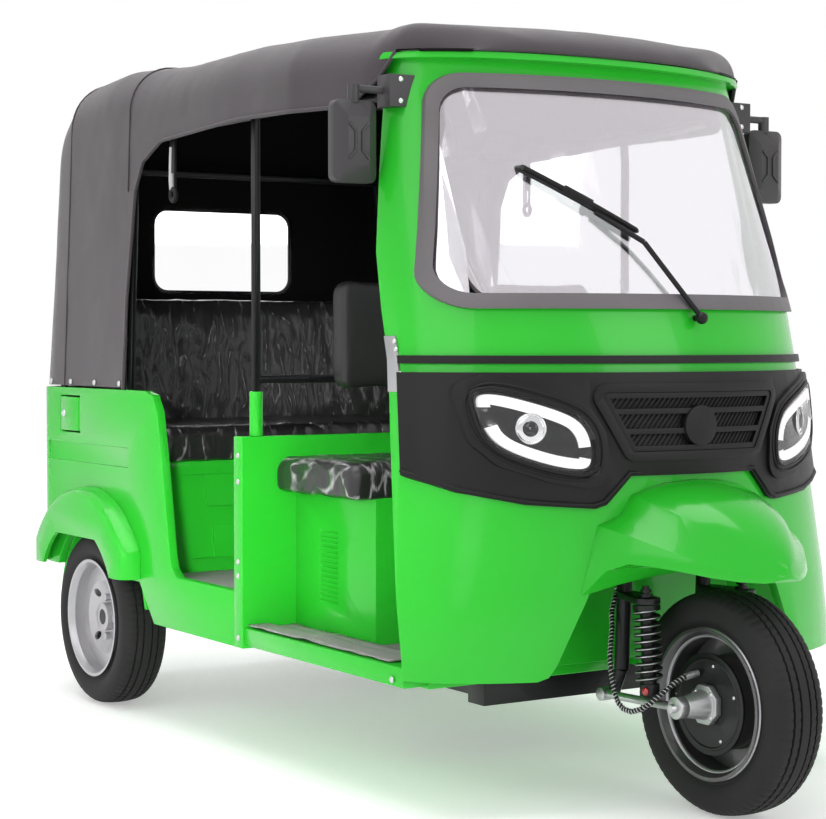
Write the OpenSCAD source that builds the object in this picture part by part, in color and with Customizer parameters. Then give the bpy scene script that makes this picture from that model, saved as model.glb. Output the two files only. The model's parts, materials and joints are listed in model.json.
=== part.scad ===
// Three-wheeled passenger taxi with a hooded rear cabin, an open doorway on each side
// and a steered front wheel on leading links. Millimetres, +X forward, +Y left, +Z up.

/* [Vehicle] */
// Distance between the front and rear axles
wheelbase = 2000; // [1980:5:2040]
// Distance from the rear axle to the tail lamps' faces
tail_overhang = 425; // [415:1:440]
// Distance between the centres of the rear wheels
rear_track = 1150; // [1140:1:1156]
// Width over the body sides
body_w = 1264; // [1256:1:1276]

/* [Wheels] */
// Outside diameter of each tyre
tyre_od = 494; // [486:1:498]
// Width of each tyre
tyre_w = 135; // [128:1:140]
// Diameter over the rim flanges
rim_od = 335; // [325:1:340]

/* [Steering] */
// Distance from the front axle forward to where the steering axis meets the ground
steer_trail = 50; // [40:1:60]
// Lean of the steering axis back from upright, degrees
steer_lean = 24.3; // [22:0.1:26]
// Half width between the fork legs' centres
fork_half = 116; // [114:1:120]

/* [Cabin] */
// Height of the driver's floor
floor_z = 315; // [311:1:320]
// Height of the passengers' floor
rear_floor_z = 395; // [385:1:405]
// Height of the doorway sill beside the passengers
door_sill_z = 415; // [410:1:425]
// Height of the bulkhead behind the driver
bulkhead_z = 803; // [790:1:815]
// Height of the body side's top edge
waist_z = 905; // [895:1:910]
// Thickness of the body walls
wall = 25; // [20:1:28]

/* [Front] */
// Height of the belt strip's middle
belt_z = 1000; // [997:1:1003]
// Thickness of the nose mask
mask_t = 22; // [18:1:26]
// Width of the roof lip over the windscreen
lip_out = 30; // [20:1:36]
// Thickness of the windscreen
glass_t = 5; // [4:0.5:6]

/* [Roof] */
// Thickness of the canopy sheet
canopy_t = 6; // [5:0.5:8]
// Radius of the roof tubes
tube_r = 12.5; // [11:0.5:13]

/* [Fits] */
// Gap between two pieces that are seated on each other
seat_gap = 0.3; // [0.2:0.05:0.4]
// Radial clearance of the turning shafts
run_gap = 0.05; // [0.03:0.01:0.08]
// Gap round a lid that opens
lid_gap = 5; // [5:0.5:7]

/* [Hidden] */
eps = 0.05;
big = 4000;
tyre_r = tyre_od / 2;
rim_r = rim_od / 2;
tail_x = -wheelbase - tail_overhang;
front_axle_x = (wheelbase + tail_overhang - tyre_r) / 2;
rear_x = -wheelbase;
body_y = body_w / 2;
inner_y = body_y - wall;
skin_x = tail_x + 10;
corner_r = 90;
green = [0.2, 0.8, 0.24];
black = [0.08, 0.08, 0.09];
silver = [0.75, 0.76, 0.78];
vinyl = [0.34, 0.31, 0.33];
glass = [0.6, 0.7, 0.75, 0.4];

// Plan of the cab by height: the centre and half axes of an ellipse
CAB_Z = 0;
CAB_X = 1;
CAB_A = 2;
CAB_B = 3;
cab_rows = [
  [240, -398, 283, body_y + 14],
  [480, -450, 336, body_y + 9],
  [740, -528, 412, body_y - 4],
  [1000, -598, 480, body_y - 24],
  [1110, -610, 466, body_y - 33],
  [1260, -614, 400, body_y - 52],
  [1450, -618, 312, body_y - 82],
  [1650, -620, 215, body_y - 120],
  [1720, -620, 182, body_y - 134],
];
cab_fn = 56;
// Rear edge of the cab shell, seen from the side
pillar_edge = [[-335, 240], [-345, 300], [-473, 1000], [-545, 1240], [-612, 1690], [-615, 1730]];
cab_low = 300;
cab_high = 1700;
// Rear face of the wheelhouse over the front wheel
wheelhouse_x = -345;
lip_z = 1684;
lip_h = 15;

// Wheel opening in the cab's nose, seen from the front
nose_half = [[398, 200], [394, 299], [366, 308], [349, 330], [272, 485], [232, 600], [150, 668], [0, 690]];
nose_arch = concat(nose_half, [for (i = [len(nose_half) - 2:-1:0]) [-nose_half[i][0], nose_half[i][1]]]);

bulk_front = -1085;
bulk_back = -1110;
bulk_post = -1130;
seat_front = -700;
seat_half = inner_y - 127;
seat_top = 669;
tub_y = rear_track / 2 - 92;
rail_y = tub_y - 183;
rail_w = 50;
rail_low = 215;
rail_top = 275;
rail_kick = 115;
eye_in = 90;
eye_y = rail_y - 60;
tray_half = rail_y + 86;
rail_side = [[-400, rail_low], [-400, rail_top], [rear_x + 250, rail_top],
  [rear_x + 140, rail_top + rail_kick], [tail_x + 60, rail_top + rail_kick],
  [tail_x + 60, rail_low + rail_kick], [rear_x + 120, rail_low + rail_kick], [rear_x + 230, rail_low]];
riser_x = rear_x + 330;
arch_r = 290;
hub_r = 22;
head_low = 795;
head_len = 170;
head_r = 36;
stem_r = 24;
eye_r = 12.5;
prop_r = 26;
diff_r = 105;
axle_r = 34;
spring_half = 290;
spring_y1 = tub_y - 53;
spring_y0 = spring_y1 - 50;
spring_z = tyre_r + axle_r + seat_gap;
wiper_pivot = [-116, 20, 1092];
wiper_foot = [-139.4, 20, 1092];
wiper_knee = [-188, -88, 1262];
wiper_grip = [-250, -180, 1330];
wiper_tip = [-318, 1428];
wiper_heel = [-92, 1290];
mirror_x = -571;
mirror_w = 112;
mirror_h = 186;
mirror_r = 18;
mirror_y = body_y - 14;
mirror_z = 1490;
pole_x = -1098;
pole_y = body_y - 47;
back_x = -1062;
stub_z = 915;
edge_rail_z = 1605;
bow_r = 108;
bow_y = pole_y - bow_r;
foot_y = inner_y - tube_r - seat_gap;
foot_z = 815;
back_pin_z = 1080;
back_rail_z = 945;
bow_z = 1650;
rear_corner = [rear_x - 330, pole_y - 60, 1560];
quarter_low = 380;
skirt_low = 275;
tail_half = 500;
flap_x0 = rear_x - 229;
flap_x1 = rear_x - 96;
flap_z0 = 779;
flap_z1 = 877;
flap_t = 6;
knuckle_r = 4;
flare_y = body_y + 58;
flare_t = 12;
flare_low = 388;
door_half = 330;
tdoor_z0 = 490;
tdoor_z1 = 815;
tdoor_t = 20;
barrel_r = 6;
// Cross sections of the canopy: place, half width low and high, top, shoulder radius
CAN_X = 0;
CAN_B = 1;
CAN_W = 2;
CAN_T = 3;
CAN_R = 4;
canopy_rows = [
  [-640, body_y - 72, body_y - 84, 1762, 110],
  [-900, body_y - 20, body_y - 32, 1778, 120],
  [-1200, body_y, body_y - 26, 1792, 130],
  [rear_x + 400, body_y, body_y - 26, 1790, 130],
  [rear_x + 50, body_y, body_y - 26, 1814, 130],
  [rear_x - 200, body_y, body_y - 30, 1802, 140],
  [rear_x - 310, body_y, body_y - 38, 1738, 140],
  [rear_x - 375, body_y - 16, body_y - 62, 1650, 130],
  [skin_x, body_y - 88, body_y - 112, 1560, 120],
];
opening_edge = [[rear_x + 206, 700], [rear_x + 206, 904], [rear_x + 215, 1153], [rear_x + 255, 1454],
  [rear_x + 300, 1530], [rear_x + 409, 1578], [-1144, 1595], [-687, 1585], [-600, 1640],
  [-560, cab_high + seat_gap], [0, cab_high + seat_gap], [0, 700]];
strap_x = -1564;
// Stations of the fender: place, top, shoulder, foot of the dome, crease and lower edge
FEN_X = 0;
FEN_TOP = 1;
FEN_SIDE = 2;
FEN_FOOT = 3;
FEN_CREASE = 4;
FEN_LOW = 5;
fender_t = 6;
fender_rows = [
  [-190, 744, [178, 706], [202, 664], [262, 640], [300, 478]],
  [-146, 736, [170, 706], [194, 664], [250, 637], [290, 488]],
  [-100, 730, [164, 694], [190, 656], [238, 627], [262, 542]],
  [-50, 720, [154, 681], [180, 640], [222, 615], [240, 560]],
  [0, 706, [140, 664], [164, 624], [202, 600], [214, 557]],
  [50, 687, [120, 644], [142, 604], [174, 583], [182, 550]],
  [100, 655, [92, 618], [110, 586], [135, 564], [140, 539]],
  [140, 622, [62, 594], [75, 568], [92, 548], [95, 531]],
  [172, 588, [32, 572], [40, 556], [48, 543], [50, 528]],
  [190, 560, [6, 556], [8, 549], [10, 543], [11, 536]],
];
// Front running gear: leading links, brake and dampers
link_x = -256;
link_z = 240;
link_r = 11;
link_y = fork_half + 24;
leg_r = 17;
leg_foot_r = 14;
shock_x = -98;
shock_top_x = -112;
shock_top = 462;
shock_r = 16;
spring_r = 24;
spring_low = 30;
spring_seat_r = spring_r + 7;
coil_r = 5;
coil_count = 9;
coil_step = 17.5;
crown_z = 545;
bar_at = 1040;
bar_r = 11;
bar_half = 270;
spindle_r = 10;
spindle_half = 166;
drum_r = 104;
plate_r = 112;
plate_y = 50;
plate_t = 6;
anchor_r = 46;
anchor_t = 16;
nut_r = 11;
nut_at = 56;
hole_at = 88;
hose_r = 5;
// Route of the front brake hose, from the fork's head round the damper to the brake
hose_route = [[-239.3, -116, 530], [-241, -117.5, 500], [-243, -122, 465], [-236, -138.5, 430],
  [-217, -152, 398], [-204, -166, 365], [-194, -176, 335], [-186, -180, 308], [-179, -180, 283],
  [-172, -180, 258], [-160, -180, 238], [-140, -180, 226], [-114, -179, 224], [-86, -174, 234],
  [-64, -162, 252], [-50, -144, 272], [-42, -122, 290], [-36, -100, 303], [-30, -80, 310],
  [-28, -64, 312]];
// Raised figure on the rear seat's riser, its half outline
emboss_half = [[517, 671], [450, 669], [433, 582], [0, 582], [0, 527], [419, 527], [411, 441], [478, 437]];
emboss_t = 7;
swage_z0 = 690;
swage_z1 = 745;
swage_t = 5;
plate_zone = 30;
bar_zone = 34;
screen_low_half = body_y - 92;
screen_top_half = body_y - 158;
louvre_count = 15;
louvre_step = 12.4;
roll_a = 228;
roll_b = body_y - 104;

module from_axle() {
  translate([front_axle_x, 0, 0]) children();
}

module both_sides() {
  children();
  mirror([0, 1, 0]) children();
}

// A bar between two points
module rod(p, q, r, sides = 32) {
  d = q - p;
  translate(p)
    rotate([0, acos(d[2] / norm(d)), atan2(d[1], d[0])])
      cylinder(h = norm(d), r = r, $fn = sides);
}

// A box between two opposite corners
module box(low, high) {
  translate(low) cube(high - low);
}

// A side-view outline pushed out along Y between two places
module side_cut(points, y0, y1) {
  translate([0, y1, 0]) rotate([90, 0, 0]) linear_extrude(y1 - y0) polygon(points);
}

// A front-view outline pushed along X through the nose
module front_cut() {
  translate([-900, 0, 0]) rotate([90, 0, 90]) linear_extrude(1300) children();
}

module cab_ring(row, grow) {
  translate([row[CAB_X], 0, row[CAB_Z]])
    scale([row[CAB_A] + grow, row[CAB_B] + grow, 1])
      cylinder(h = eps, r = 1, $fn = cab_fn);
}

module cab_solid(grow) {
  for (i = [0:len(cab_rows) - 2]) {
    hull() {
      cab_ring(cab_rows[i], grow);
      cab_ring(cab_rows[i + 1], grow);
    }
  }
}

// A skin of the cab between two offsets, ahead of the pillar edge
module cab_layer(inner, outer, back = 0) {
  intersection() {
    difference() {
      cab_solid(outer);
      cab_solid(inner);
    }
    translate([back, 0, 0])
      side_cut(concat(pillar_edge, [[400, 1730], [400, 240]]), -big, big);
  }
}

module band(z0, z1) {
  translate([-big, -big, z0]) cube([2 * big, 2 * big, z1 - z0]);
}

module rounded_quad(low_half, low_z, top_half, top_z, low_r, top_r) {
  hull() {
    for (s = [-1, 1]) {
      translate([s * (low_half - low_r), low_z + low_r]) circle(low_r, $fn = 28);
      translate([s * (top_half - top_r), top_z - top_r]) circle(top_r, $fn = 28);
    }
  }
}

// Windscreen outline, in from the rubber's outer edge
module screen_shape(inset) {
  side = 0.62 * inset;
  rounded_quad(screen_low_half - side, 1112 + inset, screen_top_half - side, 1650 - inset,
    72 - inset / 2, 82 - inset / 2);
}

module frame() {
  color(black) from_axle() difference() {
    union() {
      for (s = [-1, 1])
        side_cut(rail_side, s * rail_y - rail_w / 2, s * rail_y + rail_w / 2);
      for (x = [-770, -1040, rear_x + 300])
        box([x - 25, -rail_y, rail_low + 5], [x + 25, rail_y, rail_top]);
      box([-450, -tray_half, rail_low], [-386, tray_half, rail_top - 1]);
      box([tail_x + 60, -rail_y, rail_low + rail_kick + 5], [tail_x + 120, rail_y, rail_top + rail_kick]);
      steer_frame() translate([0, 0, head_low]) cylinder(h = head_len, r = head_r, $fn = 48);
      neck();
      spring_hangers();
    }
    prop_line(prop_r + 8);
    steer_frame() translate([0, 0, head_low - 10])
      cylinder(h = head_len + 20, r = stem_r + run_gap, $fn = 48);
    for (s = [-1, 1])
      translate([tail_x + eye_in, s * eye_y, rail_low])
        cylinder(h = 300, r = eye_r, $fn = 32);
  }
}

// Brackets under the ends of the leaf springs
module spring_hangers() {
  rail_out = rail_y + rail_w / 2 - 1;
  both_sides()
    for (x = [rear_x - spring_half, rear_x + spring_half]) {
      box([x - 14, rail_out, spring_z - 20], [x + 14, spring_y1, spring_z]);
      box([x - 14, rail_out, spring_z - 20], [x + 14, spring_y0 - 5, rail_low + rail_kick + 10]);
    }
}

// The propeller shaft's line, at a radius
module prop_line(r) {
  rod([-1064, 0, 300], [rear_x + diff_r + 2, 0, 255], r);
}

// The steering axis as an upright line
module steer_frame() {
  translate([steer_trail, 0, 0]) rotate([0, -steer_lean, 0]) children();
}

module neck() {
  difference() {
    hull() {
      steer_frame() translate([0, 0, head_low + 40]) cylinder(h = 80, r = 22, $fn = 32);
      box([-445, -22, 690], [-400, 22, 730]);
    }
    steer_frame() translate([0, 0, head_low]) cylinder(h = 300, r = stem_r + 4, $fn = 32);
  }
  box([-445, -22, rail_top - 20], [-400, 22, 730]);
}

module floor_pan() {
  rear_half = inner_y - seat_gap;
  color(green) from_axle() difference() {
    union() {
      intersection() {
        box([bulk_front, -inner_y + 45, rail_top], [wheelhouse_x - seat_gap, inner_y - 45, floor_z]);
        cab_plus_back(-wall - seat_gap);
      }
      box([riser_x - 25, -rear_half, rear_floor_z - 30], [bulk_back, rear_half, rear_floor_z]);
      for (s = [-1, 1])
        box([riser_x, s * rail_y - 30, rail_top], [bulk_back, s * rail_y + 30, rear_floor_z - 30]);
    }
    engine_hole();
    box([-455, -32, 200], [wheelhouse_x, 32, 400]);
  }
}

module engine_hole() {
  box([bulk_front - 5, -232, 100], [-738, 232, 660]);
}

// The room inside the cab, carried back under the driver
module cab_plus_back(grow) {
  cab_solid(grow);
  box([-1300, -big, 0], [-420, big, 2000]);
}

module floor_mats() {
  color(vinyl) from_axle() {
    difference() {
      intersection() {
        box([bulk_front + 2, -inner_y + 48, floor_z], [-360, inner_y - 48, floor_z + 6]);
        cab_plus_back(-wall - 12);
      }
      box([-1200, -seat_half - 1, 300], [seat_front + 1, seat_half + 1, 400]);
      box([-460, -40, 300], [-340, 40, 400]);
      box([-365, -362, 300], [-200, 362, 400]);
    }
    box([riser_x + 6, -inner_y + 12, rear_floor_z], [bulk_back - 6, inner_y - 12, rear_floor_z + 6]);
  }
}

module sills() {
  color(green) from_axle() both_sides() difference() {
    box([bulk_front, inner_y - 45 + seat_gap, 283], [-330, body_y - 4, 328]);
    cab_back_cut();
  }
}

// Everything ahead of the pillar edge, with a seat gap
module cab_back_cut() {
  translate([-seat_gap, 0, 0]) side_cut(concat(pillar_edge, [[400, 1730], [400, 240]]), -big, big);
}

module cowl() {
  color(green) from_axle() {
    difference() {
      cab_layer(-wall, 0);
      band(0, cab_low);
      band(cab_high, 2000);
      front_cut() screen_shape(16);
      front_cut() polygon(nose_arch);
    }
    intersection() {
      cab_layer(-3, lip_out);
      band(lip_z, lip_z + lip_h);
    }
  }
}

module wheelhouse() {
  color(green) from_axle() difference() {
    intersection() {
      translate([wheelhouse_x, 0, 0]) rotate([90, 0, 90]) linear_extrude(500)
        offset(delta = 14) polygon(nose_arch);
      cab_solid(-wall - seat_gap);
      band(cab_low, 1000);
    }
    translate([wheelhouse_x + 14, 0, 0]) rotate([90, 0, 90]) linear_extrude(600) polygon(nose_arch);
    steer_frame() translate([0, 0, 500]) cylinder(h = 400, r = stem_r + 10, $fn = 32);
  }
}

module mask_shape() {
  polygon([[-800, 749], [-612, 749], [-527, 711], [-407, 685], [-262, 674], [-236, 682], [-176, 744],
    [176, 744], [236, 682], [262, 674], [407, 685], [527, 711], [612, 749], [800, 749], [800, 972],
    [-800, 972]]);
}

module lamp_shape(grow) {
  for (s = [-1, 1])
    offset(r = 16 + grow, $fn = 24) offset(delta = -16)
      polygon([[s * 505, 935], [s * 474, 943], [s * 350, 907], [s * 290, 878], [s * 262, 832], [s * 257, 748],
        [s * 285, 744], [s * 356, 757], [s * 447, 790], [s * 484, 830]]);
}

module grille_shape(grow) {
  offset(r = 10 + grow, $fn = 16) offset(delta = -10)
    polygon([[-252, 928], [252, 928], [178, 797], [-178, 797]]);
}

// A skin over the nose, raised round the lamps and the grille
module nose_mask() {
  color(black) from_axle() difference() {
    union() {
      intersection() {
        cab_layer(seat_gap, mask_t - 9, bar_zone);
        front_cut() mask_shape();
      }
      intersection() {
        cab_layer(mask_t - 12, mask_t, bar_zone);
        front_cut() intersection() {
          union() {
            lamp_shape(24);
            grille_shape(20);
          }
          offset(delta = -2) mask_shape();
        }
      }
    }
    front_cut() lamp_shape(0.6);
    intersection() {
      cab_layer(8, mask_t + 10);
      front_cut() grille_shape(0);
    }
  }
}

module grille() {
  color(black) from_axle() intersection() {
    union() {
      intersection() {
        cab_layer(8 + seat_gap, mask_t - 2);
        front_cut() union() {
          difference() {
            grille_shape(-1);
            grille_shape(-13);
          }
          for (z = [842, 886]) translate([-260, z - 6]) square([520, 12]);
        }
      }
      intersection() {
        cab_layer(8 + seat_gap, mask_t + 4);
        front_cut() translate([0, 853]) circle(45, $fn = 40);
      }
    }
    front_cut() grille_shape(-1);
  }
}

module headlamp_housings() {
  color(black) from_axle() intersection() {
    cab_layer(seat_gap, 12);
    front_cut() lamp_shape(0);
  }
}

module headlamp_lenses() {
  color(glass) from_axle() intersection() {
    cab_layer(12 + seat_gap, mask_t + 5);
    front_cut() lamp_shape(0);
  }
}

module windscreen() {
  color(glass) from_axle() intersection() {
    cab_layer(-glass_t - 0.5, -0.5);
    front_cut() screen_shape(17);
  }
}

module screen_gasket() {
  color(vinyl) from_axle() intersection() {
    cab_layer(seat_gap, 12);
    front_cut() difference() {
      screen_shape(0);
      screen_shape(34);
    }
  }
}

module belt_strip() {
  color(black) from_axle() intersection() {
    cab_layer(seat_gap, 10, bar_zone);
    band(belt_z - 9, belt_z + 9);
  }
}

// Bright plates on the rear edges of the pillars
module hinge_plates() {
  color(silver) from_axle() intersection() {
    difference() {
      cab_layer(seat_gap, 5, 2);
      cab_layer(-10, 20, plate_zone);
    }
    band(belt_z - 72, belt_z + 52);
  }
}

// Half of a fender section, from its lower edge to its crown, set in by a distance
function fender_half(row, in) = [
  row[FEN_LOW] - [in, 0],
  row[FEN_CREASE] - [in, 0],
  row[FEN_FOOT] - [in, 0.6 * in],
  row[FEN_SIDE] - [0.7 * in, 0.7 * in],
  [0.8 * row[FEN_SIDE][0], row[FEN_SIDE][1] + 0.46 * (row[FEN_TOP] - row[FEN_SIDE][1])] - [0.4 * in, in],
  [0.5 * row[FEN_SIDE][0], row[FEN_SIDE][1] + 0.82 * (row[FEN_TOP] - row[FEN_SIDE][1])] - [0, in],
  [0, row[FEN_TOP]] - [0, in]];
function mirrored(half) = [for (p = half) [-p[0], p[1]]];
function backward(list) = [for (i = [len(list) - 1:-1:0]) list[i]];
function fender_ring(row, in) = let (h = fender_half(row, in))
  concat(h, backward([for (i = [0:5]) mirrored(h)[i]]));

// Skins a row of closed rings of points, its ends capped
module loft(rings) {
  n = len(rings[0]);
  m = len(rings);
  sides = [for (j = [0:m - 2]) for (i = [0:n - 1]) each [
    [j * n + i, j * n + (i + 1) % n, (j + 1) * n + i],
    [j * n + (i + 1) % n, (j + 1) * n + (i + 1) % n, (j + 1) * n + i]]];
  polyhedron([for (r = rings) each r],
    concat(sides, [[for (i = [n - 1:-1:0]) i]], [[for (i = [0:n - 1]) (m - 1) * n + i]]));
}

module fender_solid(in) {
  loft([for (row = fender_rows) [for (p = backward(fender_ring(row, in))) [row[FEN_X] - in, p[0], p[1]]]]);
}

module front_fender() {
  color(green) from_axle() difference() {
    fender_solid(0);
    difference() {
      translate([0, 0, -2]) fender_solid(fender_t);
      box([190 - 2 * fender_t, -20, 400], [200, 20, 700]);
    }
    cab_solid(seat_gap);
    intersection() {
      cab_solid(mask_t + 3);
      front_cut() offset(delta = 1) mask_shape();
    }
  }
}

module wiper() {
  color(black) from_axle() {
    rod(wiper_foot, wiper_pivot, 7, 14);
    rod(wiper_pivot, wiper_knee, 6, 14);
    rod(wiper_knee, wiper_grip, 6, 14);
    translate(wiper_pivot) sphere(14, $fn = 14);
    intersection() {
      cab_layer(0.5, 22);
      front_cut() hull() {
        translate(wiper_tip) circle(7, $fn = 12);
        translate(wiper_heel) circle(7, $fn = 12);
      }
    }
  }
}

module mirror_heads() {
  color(black) from_axle() both_sides() {
    difference() {
      hull() {
        for (dz = [-1, 1])
          for (dy = [-1, 1])
            translate([mirror_x - 4, mirror_y + dy * (mirror_w / 2 - mirror_r),
              mirror_z + dz * (mirror_h / 2 - mirror_r)])
              rotate([0, 90, 0]) cylinder(h = 24, r = mirror_r, center = true, $fn = 16);
        translate([mirror_x + 26, mirror_y, mirror_z]) cube([1, mirror_w - 56, mirror_h - 76], center = true);
      }
      translate([mirror_x - 15, mirror_y, mirror_z]) cube([6, mirror_w - 20, mirror_h - 20], center = true);
    }
    rod([mirror_x, mirror_y, mirror_z + mirror_h / 2 - 6], [mirror_x, mirror_y, mirror_z + 128], 14, 16);
    rod([mirror_x, mirror_y, mirror_z + 120], [mirror_x, mirror_y - 78, mirror_z + 120], 9, 16);
    difference() {
      box([mirror_x - 20, mirror_y - 158, 1572], [mirror_x + 34, mirror_y - 76, 1645]);
      cab_solid(seat_gap);
    }
  }
}

module mirror_glass() {
  color(silver) from_axle() both_sides()
    translate([mirror_x - 15.8, mirror_y, mirror_z]) cube([3, mirror_w - 21, mirror_h - 21], center = true);
}

module dashboard() {
  color(black) from_axle() {
    intersection() {
      box([-340, -big, 1072], [0, big, 1098]);
      cab_solid(-wall - seat_gap);
    }
    translate([-300, 0, 1095]) rotate([0, -30, 0]) intersection() {
      scale([0.5, 1, 0.62]) sphere(92, $fn = 20);
      band(0, 100);
    }
  }
}

module bulkhead() {
  color(green) from_axle() difference() {
    union() {
      box([bulk_back, -inner_y, rail_top], [bulk_front, inner_y, bulkhead_z]);
      both_sides() box([bulk_post, inner_y, rail_top], [bulk_front, body_y, bulkhead_z]);
    }
    prop_line(prop_r + 8);
  }
}

module driver_seat_base() {
  color(green) from_axle() difference() {
    box([bulk_front, -seat_half, floor_z], [seat_front, seat_half, seat_top]);
    box([bulk_front - 1, -seat_half + 15, floor_z - 1], [seat_front - 15, seat_half - 15, seat_top - 15]);
    for (s = [-1, 1])
      for (i = [0:louvre_count - 1])
        translate([-920, s * seat_half, floor_z + 85 + louvre_step * i]) cube([84, 8, 5], center = true);
  }
}

module engine_block() {
  color(black) from_axle() box([-1060, -220, rail_top], [-750, 220, 600]);
}

module driver_cushion() {
  color(vinyl) from_axle() hull() {
    for (x = [bulk_front + 32, seat_front - 10])
      for (s = [-1, 1])
        translate([x, s * (seat_half + 50), seat_top]) {
          cylinder(h = 60, r = 30, $fn = 32);
          cylinder(h = 80, r = 12, $fn = 32);
        }
  }
}

module driver_backrest() {
  color(vinyl) from_axle() hull() {
    for (z = [955, 1160])
      for (y = [-360, 360])
        translate([back_x, y, z]) rotate([0, 90, 0]) cylinder(h = 60, r = 40, $fn = 32);
  }
}

module posts() {
  color(green) from_axle() both_sides()
    translate([pole_x, pole_y, bulkhead_z]) cylinder(h = stub_z - bulkhead_z, r = 17, $fn = 32);
}

// Bars from point to point with a ball at each joint
module tube_run(points, r) {
  for (i = [0:len(points) - 2]) {
    d = (points[i + 1] - points[i]) / norm(points[i + 1] - points[i]);
    rod(points[i] + 4 * d, points[i + 1] - 4 * d, r);
  }
  for (p = points) translate(p) sphere(r + 2, $fn = 32);
}

// A roof bow from edge rail to edge rail, its feet let down by a drop
module roof_bow(x, drop) {
  both_sides() {
    translate([x, pole_y, edge_rail_z - drop])
      cylinder(h = bow_z - edge_rail_z - 2 + drop, r = tube_r - 2, $fn = 32);
    translate([x, bow_y, bow_z])
      rotate([90, 0, 90])
        rotate([0, 0, 2]) rotate_extrude(angle = 86, $fn = 64)
          translate([bow_r, 0]) circle(tube_r - 2, $fn = 24);
    translate([x, pole_y, bow_z - 8]) cylinder(h = 20, r = tube_r, $fn = 32);
    translate([x, bow_y - 8, bow_z + bow_r]) rotate([-90, 0, 0]) cylinder(h = 20, r = tube_r, $fn = 32);
  }
  rod([x, -bow_y + 2, bow_z + bow_r], [x, bow_y - 2, bow_z + bow_r], tube_r - 2);
}

module canopy_frame() {
  color(black) from_axle() {
    both_sides() {
      translate([pole_x, pole_y, stub_z]) cylinder(h = edge_rail_z - stub_z, r = tube_r - 1, $fn = 32);
      tube_run([rear_corner, [rear_x + 200, pole_y, edge_rail_z], [-900, pole_y - 12, edge_rail_z],
        [-650, 500, edge_rail_z]], tube_r);
      rod([rear_x + 170, foot_y, foot_z], [rear_x + 200, pole_y, edge_rail_z - 5], tube_r - 1);
      rod([rear_x - 310, foot_y, foot_z], rear_corner - [0, 0, 5], tube_r - 1);
    }
    roof_bow(pole_x - 90, 0);
    roof_bow(rear_x + 50, 16);
    rod([pole_x, -pole_y, back_rail_z], [pole_x, pole_y, back_rail_z], tube_r - 2);
    for (y = [-300, 300]) {
      rod([pole_x, y, back_rail_z], [pole_x, y, back_pin_z], 9);
      rod([pole_x, y, back_pin_z - 14], [back_x - seat_gap, y, back_pin_z - 14], 8);
    }
    rod(rear_corner + [0, -2 * rear_corner[1] + 5, 0], rear_corner - [0, 5, 0], tube_r - 1);
  }
}

// Plan of the rear body, shrunk by an offset
module tub_plan(in) {
  square_half = body_y - in;
  translate([skin_x + corner_r, -square_half]) square([2000, 2 * square_half]);
  translate([skin_x + in, -body_y + corner_r]) square([corner_r - in + 1, 2 * (body_y - corner_r)]);
  for (s = [-1, 1])
    translate([skin_x + corner_r, s * (body_y - corner_r)]) circle(corner_r - in, $fn = 96);
}

module tub_shell() {
  difference() {
    linear_extrude(waist_z) tub_plan(0);
    translate([0, 0, -1]) linear_extrude(waist_z + 2) tub_plan(wall);
  }
}

// Outline of a body side
module quarter_outline() {
  difference() {
    polygon([[tail_x, quarter_low], [tail_x, waist_z], [rear_x + 350, waist_z], [rear_x + 394, waist_z - 11],
      [rear_x + 425, waist_z - 55], [rear_x + 453, 722], [rear_x + 500, 470], [rear_x + 512, 437],
      [rear_x + 545, door_sill_z], [bulk_post, door_sill_z], [bulk_post, skirt_low],
      [rear_x + 402, skirt_low], [rear_x + 310, quarter_low]]);
    translate([rear_x, tyre_r]) circle(arch_r, $fn = 96);
  }
}

module quarter() {
  difference() {
    intersection() {
      tub_shell();
      translate([0, big, 0]) rotate([90, 0, 0]) linear_extrude(big - tail_half - seat_gap) quarter_outline();
    }
    box([skin_x + corner_r, body_y - swage_t, swage_z0], [rear_x + 235, body_y + 1, swage_z1]);
  }
}

module quarter_right() {
  color(green) from_axle() difference() {
    mirror([0, 1, 0]) quarter();
    box([flap_x0 - lid_gap, -big, flap_z0 - lid_gap],
      [flap_x1 + knuckle_r + seat_gap, -body_y + 200, flap_z1 + lid_gap]);
  }
}

module quarter_left() {
  color(green) from_axle() quarter();
}

module service_flap() {
  plate_x = flap_x1 - knuckle_r - 3;
  color(green) from_axle() {
    box([flap_x0, -body_y, flap_z0], [plate_x, -body_y + flap_t, flap_z1]);
    translate([flap_x1, -body_y + knuckle_r, flap_z0])
      cylinder(h = flap_z1 - flap_z0, r = knuckle_r, $fn = 32);
    box([plate_x - 1, -body_y + 2, flap_z0], [flap_x1, -body_y + 5, flap_z1]);
  }
}

module flare_outline(in) {
  intersection() {
    translate([0, tyre_r - 12]) circle(385 - in, $fn = 60);
    translate([-312 + in, flare_low]) square([624 - 2 * in, 500]);
  }
}

// A wheel arch swelling out of the body side, its outer edge rolled over
module flare_solid(in) {
  depth = flare_y - body_y - seat_gap;
  hull() {
    for (k = [[0, 26], [6, 10], [20, 0], [depth, -6]])
      translate([0, 0, k[0] + (k[0] == depth ? 0 : in)]) linear_extrude(eps) flare_outline(k[1] + in);
  }
}

module lip_outline() {
  intersection() {
    translate([0, tyre_r]) circle(275, $fn = 128);
    translate([-400, 0]) square([800, 485]);
  }
}

module rear_arches() {
  color(green) from_axle() both_sides() translate([rear_x, flare_y, 0]) rotate([90, 0, 0]) difference() {
    flare_solid(0);
    translate([0, 0, eps]) flare_solid(flare_t);
    translate([0, 0, -1]) linear_extrude(flare_y) lip_outline();
    translate([-big, -big, flare_y - body_y - seat_gap]) cube(2 * big);
    translate([-big, -big, -big]) cube([2 * big, big + flare_low, 3 * big]);
  }
}

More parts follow.
